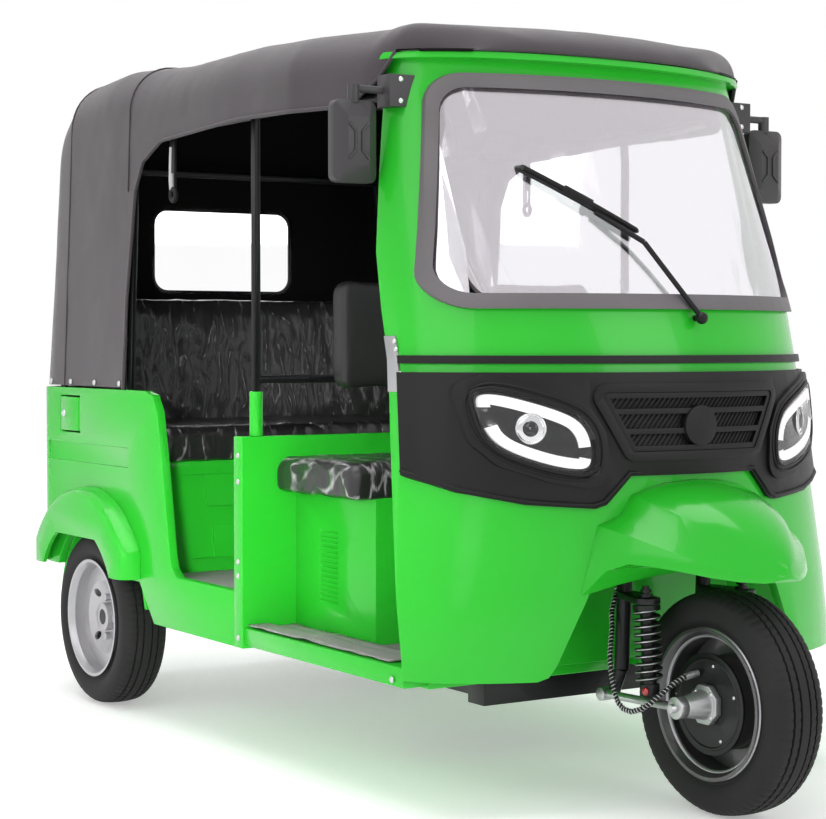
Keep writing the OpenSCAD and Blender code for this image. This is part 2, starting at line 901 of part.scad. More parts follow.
module wheel_tubs() {
  color(green) from_axle() both_sides() difference() {
    translate([rear_x, inner_y - seat_gap, tyre_r]) rotate([90, 0, 0]) difference() {
      cylinder(h = inner_y - seat_gap - tub_y, r = arch_r + 12, $fn = 96);
      translate([0, 0, -1]) cylinder(h = inner_y - tub_y - 11, r = arch_r, $fn = 96);
    }
    band(-100, 300);
  }
}

module tail_panel() {
  color(green) from_axle() difference() {
    box([skin_x, -tail_half, quarter_low], [skin_x + wall, tail_half, waist_z]);
    box([skin_x - 1, -door_half - lid_gap, tdoor_z0 - lid_gap],
      [skin_x + wall + 1, door_half + lid_gap, tdoor_z1 + barrel_r + seat_gap]);
  }
}

module tail_door() {
  color(green) from_axle() {
    box([skin_x, -door_half, tdoor_z0], [skin_x + tdoor_t, door_half, tdoor_z1 - barrel_r]);
    translate([skin_x + barrel_r, -door_half, tdoor_z1]) rotate([-90, 0, 0])
      cylinder(h = 2 * door_half, r = barrel_r, $fn = 32);
    box([skin_x + 2, -door_half, tdoor_z1 - barrel_r - 1], [skin_x + 10, door_half, tdoor_z1]);
  }
}

module tail_lamps() {
  color([0.7, 0.05, 0.05]) from_axle() both_sides()
    box([tail_x, 380, 560], [skin_x, 470, 760]);
}

module rear_seat_base() {
  color(green) from_axle() {
    box([riser_x - 25, -inner_y + seat_gap, rear_floor_z], [riser_x, inner_y - seat_gap, 712]);
    box([skin_x + wall + seat_gap, -inner_y + 70, 690], [riser_x - 25, inner_y - 70, 712]);
    translate([riser_x - 1, 0, 0]) rotate([90, 0, 90]) linear_extrude(emboss_t + 1)
      polygon(concat(emboss_half, backward(mirrored(emboss_half))));
  }
}

module rear_cushion() {
  color(vinyl) from_axle() hull() {
    for (x = [rear_x - 160, riser_x + 10])
      for (s = [-1, 1])
        translate([x, s * (inner_y - 47), 712]) {
          cylinder(h = 70, r = 32, $fn = 32);
          cylinder(h = 90, r = 14, $fn = 32);
        }
  }
}

module rear_backrest() {
  color(vinyl) from_axle() hull() {
    for (z = [752, 1140])
      for (s = [-1, 1])
        translate([rear_x - 200 - (z - 752) * 0.12, s * (inner_y - 97), z])
          rotate([0, -90, 0]) cylinder(h = 70, r = 40, $fn = 32);
  }
}

module canopy_section(row, in) {
  shoulder = row[CAN_T] - row[CAN_R];
  translate([row[CAN_X], 0, 0]) rotate([90, 0, 90]) linear_extrude(eps) hull() {
    translate([-row[CAN_B] + in, waist_z - 40]) square([2 * (row[CAN_B] - in), 1]);
    for (s = [-1, 1])
      translate([s * (row[CAN_W] - row[CAN_R]), shoulder]) circle(row[CAN_R] - in, $fn = 36);
    translate([-110, row[CAN_T] + 12 - in]) square([220, 1]);
  }
}

module canopy_solid(in) {
  last = len(canopy_rows) - 2;
  for (i = [0:last]) {
    hull() {
      canopy_section(canopy_rows[i], in);
      translate([i == last ? in : 0, 0, 0]) canopy_section(canopy_rows[i + 1], in);
    }
  }
  hull() {
    canopy_section_top(canopy_rows[0], in);
    translate([-620, 0, cab_high - in])
      scale([roll_a - in, roll_b - in, 1]) cylinder(h = 34, r = 1, $fn = 56);
    translate([-620, 0, cab_high - in])
      scale([roll_a - 32 - in, roll_b - 28 - in, 1]) cylinder(h = 58, r = 1, $fn = 56);
  }
}

module canopy_section_top(row, in) {
  intersection() {
    canopy_section(row, in);
    band(1600, 2000);
  }
}

module canopy() {
  color(vinyl) from_axle() difference() {
    canopy_solid(0);
    canopy_solid(canopy_t);
    band(0, waist_z + seat_gap);
    side_cut(opening_edge, -big, big);
    window_cut(0);
    intersection() {
      cab_solid(lip_out + 2);
      band(1400, cab_high + seat_gap);
    }
  }
}

module window_cut(grow) {
  translate([skin_x - 60, 0, 0]) rotate([90, 0, 90]) linear_extrude(300)
    rounded_quad(240 + grow, 1200 - grow, 240 + grow, 1450 + grow, 45 + grow, 45 + grow);
}

module rear_window() {
  color(glass) from_axle() intersection() {
    difference() {
      canopy_solid(canopy_t + seat_gap);
      canopy_solid(canopy_t + 3);
    }
    window_cut(12);
  }
}

module hand_straps() {
  color(black) from_axle() both_sides() difference() {
    box([strap_x - 14, pole_y - 4, 1416], [strap_x + 14, pole_y + 4, edge_rail_z - tube_r]);
    box([strap_x - 8, pole_y - 90, 1426], [strap_x + 8, pole_y + 90, 1490]);
  }
}

module rear_axle() {
  color(black) from_axle() {
    translate([rear_x, 0, tyre_r]) rotate([90, 0, 0]) {
      cylinder(h = rear_track - 130, r = axle_r, center = true, $fn = 48);
      cylinder(h = rear_track + 56, r = hub_r, center = true, $fn = 48);
    }
    translate([rear_x, 0, tyre_r]) sphere(diff_r, $fn = 48);
    both_sides() translate([rear_x, rear_track / 2 - 55, tyre_r]) rotate([90, 0, 0])
      cylinder(h = 10, r = 110, $fn = 64);
  }
}

module leaf_springs() {
  color(black) from_axle() both_sides() {
    for (i = [0:3])
      box([rear_x - 304 + 60 * i, spring_y0, spring_z + 8 * i],
        [rear_x + 304 - 60 * i, spring_y1, spring_z + 8 * i + 8]);
  }
}

module prop_shaft() {
  color(silver) from_axle() prop_line(prop_r);
}

function tyre_profile(w) = [[rim_r - 12, -w * 0.36], [rim_r + 8, -w * 0.42], [tyre_r - 45, -w / 2],
  [tyre_r - 16, -w * 0.46], [tyre_r - 4, -w * 0.34], [tyre_r, -w * 0.14], [tyre_r, w * 0.14],
  [tyre_r - 4, w * 0.34], [tyre_r - 16, w * 0.46], [tyre_r - 45, w / 2], [rim_r + 8, w * 0.42],
  [rim_r - 12, w * 0.36]];

module tyre() {
  rotate([90, 0, 0]) rotate_extrude($fn = 128) polygon(tyre_profile(tyre_w));
}

// A pressed steel wheel. Its outer side faces -Y
module rim(bore) {
  seat = rim_r - 12.3;
  rotate([90, 0, 0]) difference() {
    union() {
      rotate_extrude($fn = 128) {
        polygon([[rim_r - 18, -50], [seat, -50], [seat, 50], [rim_r - 18, 50]]);
        for (s = [-1, 1])
          polygon([[rim_r - 18, s * 50], [seat, s * 50], [rim_r - 2, s * 62], [rim_r, s * 66],
            [rim_r - 8, s * 66]]);
        polygon([[bore, 8], [72, 8], [106, 26], [rim_r - 17, 22], [rim_r - 17, 14], [106, 18], [74, 0],
          [bore, 0]]);
      }
      cylinder(h = 30, r = bore + 18, $fn = 64);
      for (i = [0:3])
        rotate([0, 0, 90 * i]) translate([nut_at, 0, 7]) cylinder(h = 15, r = nut_r, $fn = 6);
    }
    translate([0, 0, -1]) cylinder(h = 100, r = bore, $fn = 64);
    for (i = [0:3])
      rotate([0, 0, 90 * i + 45]) translate([hole_at, 0, -50]) cylinder(h = 200, r = 12, $fn = 32);
  }
}

module rear_tyre_right() {
  color(black) from_axle() translate([rear_x, -rear_track / 2, tyre_r]) tyre();
}

module rear_rim_right() {
  color(silver) from_axle() translate([rear_x, -rear_track / 2, tyre_r]) rim(hub_r + run_gap);
}

module rear_tyre_left() {
  color(black) from_axle() translate([rear_x, rear_track / 2, tyre_r]) tyre();
}

module rear_rim_left() {
  color(silver) from_axle() translate([rear_x, rear_track / 2, tyre_r])
    rotate([0, 0, 180]) rim(hub_r + run_gap);
}

module fork() {
  color(black) from_axle() {
    steer_frame() translate([0, 0, 590]) cylinder(h = bar_at - bar_r - seat_gap - 590, r = stem_r, $fn = 48);
    both_sides() {
      rod([-215, fork_half, crown_z + 15], [-228, fork_half, 300], leg_r);
      rod([-228, fork_half, 300], [link_x, fork_half, link_z], leg_foot_r);
      hull() {
        translate([-208, fork_half, shock_top + seat_gap]) cylinder(h = 14, r = leg_r + 4.5, $fn = 32);
        translate([shock_top_x, link_y, shock_top + seat_gap]) cylinder(h = 12, r = spring_seat_r, $fn = 32);
      }
    }
    hull() both_sides() {
      translate([-215, fork_half, crown_z]) cylinder(h = 24, r = 24, $fn = 32);
      translate([-170, fork_half - 20, crown_z]) cylinder(h = 24, r = 22, $fn = 32);
    }
  }
}

// The front links with the stepped spindle that they carry
module link_arms() {
  eye_in_y = link_y - link_r;
  eye_out_y = link_y + link_r;
  color(silver) from_axle() {
    both_sides() {
      rod([link_x, link_y, link_z], [-8, link_y, tyre_r], link_r - 1.5);
      rod([link_x, fork_half + leg_foot_r + seat_gap, link_z], [link_x, link_y + 16, link_z], 15);
    }
    translate([0, 0, tyre_r]) rotate([-90, 0, 0]) rotate_extrude($fn = 48)
      polygon([[0, -spindle_half], [spindle_r, -spindle_half], [spindle_r, -eye_out_y], [24, -eye_out_y],
        [24, -eye_in_y], [spindle_r, -eye_in_y], [spindle_r, 40], [16, 40], [16, eye_in_y], [24, eye_in_y],
        [24, eye_out_y], [spindle_r, eye_out_y], [spindle_r, spindle_half], [0, spindle_half]]);
  }
}

module brake_plate() {
  color(black) from_axle() translate([0, -plate_y, tyre_r]) rotate([90, 0, 0]) difference() {
    union() {
      cylinder(h = plate_t, r = plate_r, $fn = 96);
      translate([0, 0, plate_t - 1]) rotate_extrude($fn = 96)
        translate([plate_r - 14, 0]) circle(4, $fn = 24);
    }
    translate([0, 0, -1]) cylinder(h = 40, r = spindle_r + seat_gap, $fn = 48);
  }
}

// The octagonal casting that holds the brake to the link
module brake_anchor() {
  foot = plate_y + plate_t + seat_gap;
  reach = link_y - link_r - seat_gap - foot;
  color(silver) from_axle() translate([0, -foot, tyre_r]) rotate([90, 0, 0]) difference() {
    union() {
      rotate([0, 0, 22.5]) cylinder(h = anchor_t, r = anchor_r, $fn = 8);
      cylinder(h = reach, r1 = 36, r2 = 22, $fn = 64);
    }
    translate([0, 0, -1]) cylinder(h = reach + 2, r = spindle_r + seat_gap, $fn = 48);
  }
}

function hose_dir(i) = let (a = hose_route[max(i - 1, 0)], b = hose_route[min(i + 1, len(hose_route) - 1)])
  (b - a) / norm(b - a);
function hose_ring(i) = let (d = hose_dir(i), w = cross(d, [0, 0.2, 1]), u = w / norm(w), v = cross(d, u))
  [for (k = [0:9]) hose_route[i] + hose_r * (cos(36 * k) * u + sin(36 * k) * v)];

module brake_hose() {
  color(black) from_axle() loft([for (i = [0:len(hose_route) - 1]) backward(hose_ring(i))]);
}

module front_shocks() {
  top = shock_top;
  low = tyre_r + link_r + seat_gap;
  lean = atan2(shock_x - shock_top_x, top - low);
  color(black) from_axle() both_sides()
    translate([shock_x, link_y, low]) rotate([0, -lean, 0]) {
      cylinder(h = (top - low) / cos(lean) - 1.5, r = shock_r, $fn = 48);
      translate([0, 0, spring_low]) cylinder(h = top - low - 16 - spring_low, r = spring_r, $fn = 48);
      translate([0, 0, top - low - 16]) cylinder(h = 12, r = spring_seat_r, $fn = 48);
      for (i = [0:coil_count - 1])
        translate([0, 0, 38 + i * coil_step]) rotate_extrude($fn = 48)
          translate([spring_r + 1, 0]) circle(coil_r, $fn = 24);
    }
}

module handlebar() {
  color(black) from_axle() steer_frame() translate([0, 0, bar_at]) rotate([90, 0, 0])
    cylinder(h = 2 * bar_half, r = bar_r, center = true, $fn = 32);
}

// Grips, lever clamps and levers on the handlebar
module hand_controls() {
  color(black) from_axle() steer_frame() both_sides() difference() {
    union() {
      translate([0, bar_half, bar_at]) rotate([90, 0, 0]) cylinder(h = 112, r = 17, $fn = 32);
      translate([0, bar_half - 112, bar_at]) rotate([90, 0, 0]) cylinder(h = 46, r = 22, $fn = 32);
      rod([12, bar_half - 135, bar_at], [40, bar_half - 118, bar_at], 7);
      rod([40, bar_half - 118, bar_at], [36, bar_half - 6, bar_at], 5);
    }
    translate([0, bar_half + 5, bar_at]) rotate([90, 0, 0]) cylinder(h = 300, r = bar_r + seat_gap, $fn = 32);
  }
}

module front_tyre() {
  color(black) from_axle() translate([0, 0, tyre_r]) tyre();
}

// The disc of the front wheel is on its left, and the brake drum on its right
module front_rim() {
  color(silver) from_axle() translate([0, 0, tyre_r]) {
    rotate([0, 0, 180]) rim(spindle_r + run_gap);
    rotate([90, 0, 0]) difference() {
      translate([0, 0, -2]) cylinder(h = plate_y - 4, r = drum_r, $fn = 96);
      translate([0, 0, -3]) cylinder(h = plate_y, r = spindle_r + run_gap, $fn = 64);
    }
  }
}

frame();
floor_pan();
floor_mats();
sills();
cowl();
wheelhouse();
nose_mask();
grille();
headlamp_housings();
headlamp_lenses();
windscreen();
screen_gasket();
belt_strip();
hinge_plates();
front_fender();
wiper();
mirror_heads();
mirror_glass();
dashboard();
bulkhead();
driver_seat_base();
engine_block();
driver_cushion();
driver_backrest();
posts();
canopy_frame();
quarter_right();
quarter_left();
service_flap();
rear_arches();
wheel_tubs();
tail_panel();
tail_door();
tail_lamps();
rear_seat_base();
rear_cushion();
rear_backrest();
canopy();
rear_window();
hand_straps();
rear_axle();
leaf_springs();
prop_shaft();
rear_tyre_right();
rear_rim_right();
rear_tyre_left();
rear_rim_left();
fork();
link_arms();
brake_plate();
brake_anchor();
brake_hose();
front_shocks();
handlebar();
hand_controls();
front_tyre();
front_rim();
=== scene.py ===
import json
import math

import bpy
import bmesh
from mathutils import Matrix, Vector

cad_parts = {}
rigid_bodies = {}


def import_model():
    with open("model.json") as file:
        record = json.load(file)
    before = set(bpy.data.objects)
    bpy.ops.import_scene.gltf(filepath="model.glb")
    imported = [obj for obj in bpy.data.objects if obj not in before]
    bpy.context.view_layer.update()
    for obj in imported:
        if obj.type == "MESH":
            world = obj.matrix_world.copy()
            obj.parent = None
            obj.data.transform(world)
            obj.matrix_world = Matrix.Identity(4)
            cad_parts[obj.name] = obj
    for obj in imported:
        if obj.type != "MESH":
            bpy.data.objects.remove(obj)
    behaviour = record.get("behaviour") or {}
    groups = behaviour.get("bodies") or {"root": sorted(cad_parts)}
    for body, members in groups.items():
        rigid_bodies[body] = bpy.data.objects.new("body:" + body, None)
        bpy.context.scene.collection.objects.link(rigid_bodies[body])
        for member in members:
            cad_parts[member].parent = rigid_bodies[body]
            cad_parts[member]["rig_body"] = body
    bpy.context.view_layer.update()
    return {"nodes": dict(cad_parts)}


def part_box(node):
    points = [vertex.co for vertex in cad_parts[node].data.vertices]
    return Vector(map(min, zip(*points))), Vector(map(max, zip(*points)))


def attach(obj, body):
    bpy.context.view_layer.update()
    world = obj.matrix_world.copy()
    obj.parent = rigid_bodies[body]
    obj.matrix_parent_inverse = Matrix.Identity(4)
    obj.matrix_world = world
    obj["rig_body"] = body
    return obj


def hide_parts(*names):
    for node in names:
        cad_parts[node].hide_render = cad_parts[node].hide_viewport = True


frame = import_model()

# Studio: a pale floor, a white surround and large soft lamps, with the camera
# at three quarters to the front, a little above waist height.
scene = bpy.context.scene
scene.view_settings.view_transform = "Standard"
eye = bpy.data.objects.new("eye", bpy.data.cameras.new("eye"))
scene.collection.objects.link(eye)
eye.data.lens, eye.data.sensor_width = 87.28, 36.0
eye.data.clip_end = 100
pitch = math.radians(1.963)
look = Vector((-0.8421 * math.cos(pitch), 0.5393 * math.cos(pitch), -math.sin(pitch)))
eye.location = (4.4085, -2.9494, 1.041)
eye.rotation_euler = look.to_track_quat("-Z", "Y").to_euler()
scene.camera = eye

surround = bpy.data.worlds.new("surround")
scene.world = surround
surround.use_nodes = True
tree = surround.node_tree
sky = tree.nodes["Background"]
path = tree.nodes.new("ShaderNodeLightPath")
seen = tree.nodes.new("ShaderNodeMath")
seen.operation = "ADD"
tree.links.new(path.outputs["Is Camera Ray"], seen.inputs[0])
tree.links.new(path.outputs["Is Glossy Ray"], seen.inputs[1])
clear = tree.nodes.new("ShaderNodeMath")
clear.operation = "ADD"
clear.use_clamp = True
tree.links.new(seen.outputs[0], clear.inputs[0])
tree.links.new(path.outputs["Is Transmission Ray"], clear.inputs[1])
level = tree.nodes.new("ShaderNodeMapRange")
level.inputs["To Min"].default_value = 0.5
level.inputs["To Max"].default_value = 1.0
tree.links.new(clear.outputs[0], level.inputs["Value"])
tree.links.new(level.outputs["Result"], sky.inputs["Strength"])
sky.inputs["Color"].default_value = (1, 1, 1, 1)

bpy.ops.object.select_all(action="DESELECT")
bpy.ops.mesh.primitive_plane_add(size=60, location=(0, 0, -0.0005))
floor = bpy.context.object
floor.name = "studio_floor"
pale = bpy.data.materials.new("studio_pale")
pale.use_nodes = True
ground = pale.node_tree.nodes["Principled BSDF"]
ground.inputs["Base Color"].default_value = (0.92, 0.92, 0.92, 1)
ground.inputs["Roughness"].default_value = 0.9
ground.inputs["Specular IOR Level"].default_value = 0.0
ground.inputs["Emission Color"].default_value = (1, 1, 1, 1)
reach = pale.node_tree.nodes.new("ShaderNodeTexCoord")
far = pale.node_tree.nodes.new("ShaderNodeVectorMath")
far.operation = "LENGTH"
glow = pale.node_tree.nodes.new("ShaderNodeMapRange")
glow.inputs["From Min"].default_value, glow.inputs["From Max"].default_value = 2.5, 7.0
glow.inputs["To Min"].default_value, glow.inputs["To Max"].default_value = 0.34, 0.62
pale.node_tree.links.new(reach.outputs["Object"], far.inputs[0])
pale.node_tree.links.new(far.outputs["Value"], glow.inputs["Value"])
pale.node_tree.links.new(glow.outputs["Result"], ground.inputs["Emission Strength"])
floor.data.materials.append(pale)

for name, place, aim, size, power in (
    ("key", (2.2, -5.2, 3.6), (0, 0, 0.8), 3.5, 60),
    ("front", (5.5, 1.5, 2.6), (0.6, 0, 0.9), 3.0, 60),
    ("top", (-0.2, -0.6, 5.0), (0, 0, 0.8), 4.0, 165),
    ("back", (-5.0, 2.5, 3.0), (0, 0, 1.0), 3.0, 40),
    ("side", (-1.3, -5.0, 1.2), (-0.9, 0, 0.6), 2.0, 8),
    ("doorway", (3.9, -3.5, 1.25), (-0.75, -0.25, 0.5), 0.6, 3.2),
):
    lamp = bpy.data.objects.new(name, bpy.data.lights.new(name, "AREA"))
    lamp.data.size, lamp.data.energy = size, power
    lamp.data.spread = math.radians(20 if name == "doorway" else 180)
    lamp.location = place
    lamp.rotation_euler = (Vector(aim) - Vector(place)).to_track_quat("-Z", "Y").to_euler()
    lamp.visible_glossy = name != "doorway"
    scene.collection.objects.link(lamp)

# Chassis: welded box rails with a tray under the driver's feet, painted black,
# with the axle, springs, shaft and engine casing that hang from it.


def node_of(look, kind):
    """The first node of a kind in a material."""
    return next(n for n in look.node_tree.nodes if n.type == kind)


def finish(name, colour, rough, metal=0.0, grain=300.0, bump=0.04, vary=0.08, coat=0.0,
           patch=5.0, spec=0.5):
    """A procedural finish: patchy tone, uneven gloss and a fine grain."""
    made = bpy.data.materials.new(name)
    made.use_nodes = True
    nodes, links = made.node_tree.nodes, made.node_tree.links
    skin = node_of(made, "BSDF_PRINCIPLED")
    skin.inputs["Metallic"].default_value = metal
    skin.inputs["Specular IOR Level"].default_value = spec
    skin.inputs["Coat Weight"].default_value = coat
    skin.inputs["Coat Roughness"].default_value = 0.04
    where = nodes.new("ShaderNodeTexCoord")
    cloud = nodes.new("ShaderNodeTexNoise")
    cloud.inputs["Scale"].default_value = patch
    cloud.inputs["Detail"].default_value = 6.0
    links.new(where.outputs["Object"], cloud.inputs["Vector"])
    tone = nodes.new("ShaderNodeValToRGB")
    tone.color_ramp.elements[0].position, tone.color_ramp.elements[1].position = 0.3, 0.7
    tone.color_ramp.elements[0].color = (*[c * (1 - vary) for c in colour], 1)
    tone.color_ramp.elements[1].color = (*[min(1.0, c * (1 + vary)) for c in colour], 1)
    links.new(cloud.outputs["Fac"], tone.inputs["Fac"])
    links.new(tone.outputs["Color"], skin.inputs["Base Color"])
    gloss = nodes.new("ShaderNodeMapRange")
    gloss.inputs["To Min"].default_value = max(0.02, rough - 0.06)
    gloss.inputs["To Max"].default_value = rough + 0.06
    links.new(cloud.outputs["Fac"], gloss.inputs["Value"])
    links.new(gloss.outputs["Result"], skin.inputs["Roughness"])
    fine = nodes.new("ShaderNodeTexNoise")
    fine.inputs["Scale"].default_value = grain
    fine.inputs["Detail"].default_value = 3.0
    links.new(where.outputs["Object"], fine.inputs["Vector"])
    relief = nodes.new("ShaderNodeBump")
    relief.inputs["Strength"].default_value = bump
    relief.inputs["Distance"].default_value = 0.002
    links.new(fine.outputs["Fac"], relief.inputs["Height"])
    links.new(relief.outputs["Normal"], skin.inputs["Normal"])
    return made


def pick(piece):
    """Makes a piece the active one, and the only one selected."""
    bpy.ops.object.select_all(action="DESELECT")
    bpy.context.view_layer.objects.active = piece
    piece.select_set(True)


def from_cad(node, name, look, edge=0.0, angle=32):
    """A smoothed copy of a CAD node, its edges eased, that stands for the node."""
    body = frame["nodes"][node]["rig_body"]
    mesh = frame["nodes"][node].data.copy()
    piece = bpy.data.objects.new(name, mesh)
    scene.collection.objects.link(piece)
    pick(piece)
    bpy.ops.object.mode_set(mode="EDIT")
    bpy.ops.mesh.select_all(action="SELECT")
    bpy.ops.mesh.remove_doubles(threshold=0.00004)
    bpy.ops.mesh.dissolve_limited(angle_limit=0.006)
    bpy.ops.mesh.normals_make_consistent(inside=False)
    bpy.ops.object.mode_set(mode="OBJECT")
    if edge:
        ease = piece.modifiers.new("eased_edges", "BEVEL")
        ease.width, ease.segments, ease.limit_method = edge, 2, "ANGLE"
        ease.angle_limit = math.radians(angle)
        ease.use_clamp_overlap = True
        bpy.ops.object.modifier_apply(modifier=ease.name)
    bpy.ops.object.shade_smooth_by_angle(angle=math.radians(angle))
    mesh.materials.clear()
    mesh.materials.append(look)
    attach(piece, body)
    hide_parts(node)
    return piece


black_paint = finish("black_chassis_paint", (0.008, 0.008, 0.009), 0.42, grain=500, bump=0.08,
                     coat=0.1, spec=0.3)
steel_bare = finish("turned_steel", (0.55, 0.55, 0.56), 0.34, metal=0.9, grain=220, bump=0.06,
                    vary=0.12)
for node in ("frame", "rear_axle", "leaf_springs", "engine_block"):
    from_cad(node, node + "_painted", black_paint, edge=0.002)
from_cad("prop_shaft", "prop_shaft_turned", steel_bare, edge=0.001)

# Floors and mats: a pressed steel floor in body colour, welded to the rails, under
# loose grey rubber mats with fine ribs, and a strip of mat over each sill.
green = finish("green_gloss_paint", (0.022, 0.47, 0.024), 0.22, grain=160, bump=0.004, vary=0.05,
               coat=0.2, patch=2.0, spec=0.25)
mat_rubber = finish("grey_mat_rubber", (0.30, 0.29, 0.285), 0.75, grain=600, bump=0.25, vary=0.12)
ribs = mat_rubber.node_tree
comb = ribs.nodes.new("ShaderNodeTexWave")
comb.bands_direction = "Y"
comb.inputs["Scale"].default_value = 45.0
ribs.links.new(node_of(mat_rubber, "TEX_COORD").outputs["Object"], comb.inputs["Vector"])
grain_relief = node_of(mat_rubber, "BUMP")
rib_relief = ribs.nodes.new("ShaderNodeBump")
rib_relief.inputs["Strength"].default_value = 0.5
rib_relief.inputs["Distance"].default_value = 0.002
ribs.links.new(comb.outputs["Fac"], rib_relief.inputs["Height"])
ribs.links.new(grain_relief.outputs["Normal"], rib_relief.inputs["Normal"])
ribs.links.new(rib_relief.outputs["Normal"],
               node_of(mat_rubber, "BSDF_PRINCIPLED").inputs["Normal"])
for node in ("floor_pan", "sills"):
    from_cad(node, node + "_painted", green, edge=0.003)
HANDS = ((-1, "right"), (1, "left"))
from_cad("floor_mats", "floor_mats_ribbed", mat_rubber, edge=0.001)

for s, hand in HANDS:
    bpy.ops.object.select_all(action="DESELECT")
    bpy.ops.mesh.primitive_grid_add(x_subdivisions=40, y_subdivisions=8, size=1)
    strip = bpy.context.object
    strip.name = "step_mat_" + hand
    for v in strip.data.vertices:
        x, y = v.co.x, v.co.y
        wave = 0.0015 * math.sin(40 * x + 9 * y) + 0.001 * math.sin(17 * x - 20 * y)
        out = 0.552 + 0.134 * y
        climb = min(1.0, max(0.0, (out - 0.535) / 0.024))
        curl = 0.012 * max(0.0, 1 - abs(x + 0.05) / 0.09) * max(0.0, 1 - abs(y - 0.1) / 0.5)
        height = 0.3245 + 0.0075 * climb * climb * (3 - 2 * climb) + max(0.0, wave) + curl
        v.co = (0.339 + 0.66 * x, s * out, height)
    gauge = strip.modifiers.new("gauge", "SOLIDIFY")
    gauge.thickness = 0.0025
    bpy.ops.object.modifier_apply(modifier=gauge.name)
    strip.data.materials.append(mat_rubber)
    bpy.ops.object.shade_smooth()
    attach(strip, "body")

# Cab: one pressed shell in gloss green with the wheelhouse behind it, a bulkhead
# and a folded seat box. Screws with pan heads fix the panels to each other.
from_cad("cowl", "cowl_painted", green, edge=0.002, angle=38)
from_cad("wheelhouse", "wheelhouse_painted", green, edge=0.002)
from_cad("front_fender", "front_fender_painted", green, edge=0.002, angle=26)
for node in ("bulkhead", "driver_seat_base", "posts"):
    from_cad(node, node + "_painted", green, edge=0.003)


# The front axle's place and height, and the outside of the body's flat sides.
AXLE_X, AXLE_Z, SIDE = 1089, 247, 632.4


def at(x, y, z):
    """A place given in millimetres from the front axle, in the frame's metres."""
    return Vector(((x + AXLE_X) / 1000, y / 1000, z / 1000))


# Height of each section of the cab, with its middle, its depth and its half width.
CAB = ((240, -398, 283, 646), (480, -450, 336, 641), (740, -528, 412, 628),
       (1000, -598, 480, 608), (1110, -610, 466, 599), (1260, -614, 400, 580),
       (1450, -618, 312, 550), (1650, -620, 215, 512), (1720, -620, 182, 498))


def on_cab(y, z, out=0.0):
    """The place on the cab's skin at a width and height, stood off by a distance."""
    for low, high in zip(CAB, CAB[1:]):
        if low[0] <= z <= high[0]:
            t = (z - low[0]) / (high[0] - low[0])
            mid, a, b = (low[k] + t * (high[k] - low[k]) for k in (1, 2, 3))
            side = min(1.0, abs(y) / (b + out))
            return at(mid + (a + out) * math.sqrt(1 - side * side), y, z)
    return at(0, y, z)


def settle(piece, body, look, angle=40):
    """Gives a new piece its finish, smooth faces and the body it rides on."""
    pick(piece)
    bpy.ops.object.shade_smooth_by_angle(angle=math.radians(angle))
    piece.data.materials.clear()
    piece.data.materials.append(look)
    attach(piece, body)
    return piece


screw_zinc = finish("zinc_screws", (0.62, 0.62, 0.63), 0.3, metal=1.0, grain=400, bump=0.05)


def screws(name, spots, radius, body, look):
    """Domed screw heads, one for each place and outward direction."""
    bpy.ops.object.select_all(action="DESELECT")
    heads = []
    for place, out in spots:
        bpy.ops.mesh.primitive_uv_sphere_add(segments=16, ring_count=8, radius=radius)
        head = bpy.context.object
        bpy.ops.object.mode_set(mode="EDIT")
        bpy.ops.mesh.select_all(action="SELECT")
        bpy.ops.transform.resize(value=(1, 1, 0.55))
        bpy.ops.mesh.bisect(plane_co=(0, 0, -0.0004), plane_no=(0, 0, 1), clear_inner=True,
                            use_fill=True)
        bpy.ops.object.mode_set(mode="OBJECT")
        head.rotation_euler = Vector(out).to_track_quat("Z", "Y").to_euler()
        head.location = place
        heads.append(head)
    for head in heads:
        head.select_set(True)
    bpy.context.view_layer.objects.active = heads[0]
    bpy.ops.object.join()
    bpy.ops.object.transform_apply(location=True, rotation=True, scale=True)
    heads[0].name = name
    return settle(heads[0], body, look)


post_heads = [(at(-1107, s * SIDE, z), (0, s, 0))
              for s in (-1, 1) for z in (300, 455, 490, 690, 755)]
sill_heads = [(at(-385, s * SIDE, 298), (0, s, 0)) for s in (-1, 1)]
screws("panel_screws", post_heads + sill_heads, 0.0075, "body", screw_zinc)

# Windscreen: one bent sheet of clear glass, held in a broad grey rubber with rounded
# corners and swept by a single black wiper. Two hinge plates are screwed to the pillars.
glass = bpy.data.materials.new("clear_screen_glass")
glass.use_nodes = True
web = glass.node_tree
pane = node_of(glass, "BSDF_PRINCIPLED")
pane.inputs["Base Color"].default_value = (0.93, 0.98, 0.97, 1)
pane.inputs["Transmission Weight"].default_value = 1.0
pane.inputs["IOR"].default_value = 1.42
haze = web.nodes.new("ShaderNodeTexNoise")
haze.inputs["Scale"].default_value = 3.0
haze_place = web.nodes.new("ShaderNodeTexCoord")
haze_level = web.nodes.new("ShaderNodeMapRange")
haze_level.inputs["To Max"].default_value = 0.03
web.links.new(haze_place.outputs["Object"], haze.inputs["Vector"])
web.links.new(haze.outputs["Fac"], haze_level.inputs["Value"])
web.links.new(haze_level.outputs["Result"], pane.inputs["Roughness"])
sheen = web.nodes.new("ShaderNodeBsdfGlossy")
sheen.inputs["Color"].default_value = (0.95, 0.89, 0.95, 1)
sheen.inputs["Roughness"].default_value = 0.03
both = web.nodes.new("ShaderNodeMixShader")
both.inputs["Fac"].default_value = 0.42
web.links.new(pane.outputs["BSDF"], both.inputs[1])
web.links.new(sheen.outputs["BSDF"], both.inputs[2])
web.links.new(both.outputs["Shader"], node_of(glass, "OUTPUT_MATERIAL").inputs["Surface"])
rubber = finish("grey_screen_rubber", (0.13, 0.12, 0.127), 0.5, grain=700, bump=0.12, spec=0.35)
plastic = finish("grained_black_plastic", (0.0085, 0.008, 0.0085), 0.45, grain=1400, bump=0.15,
                 vary=0.1, spec=0.22)
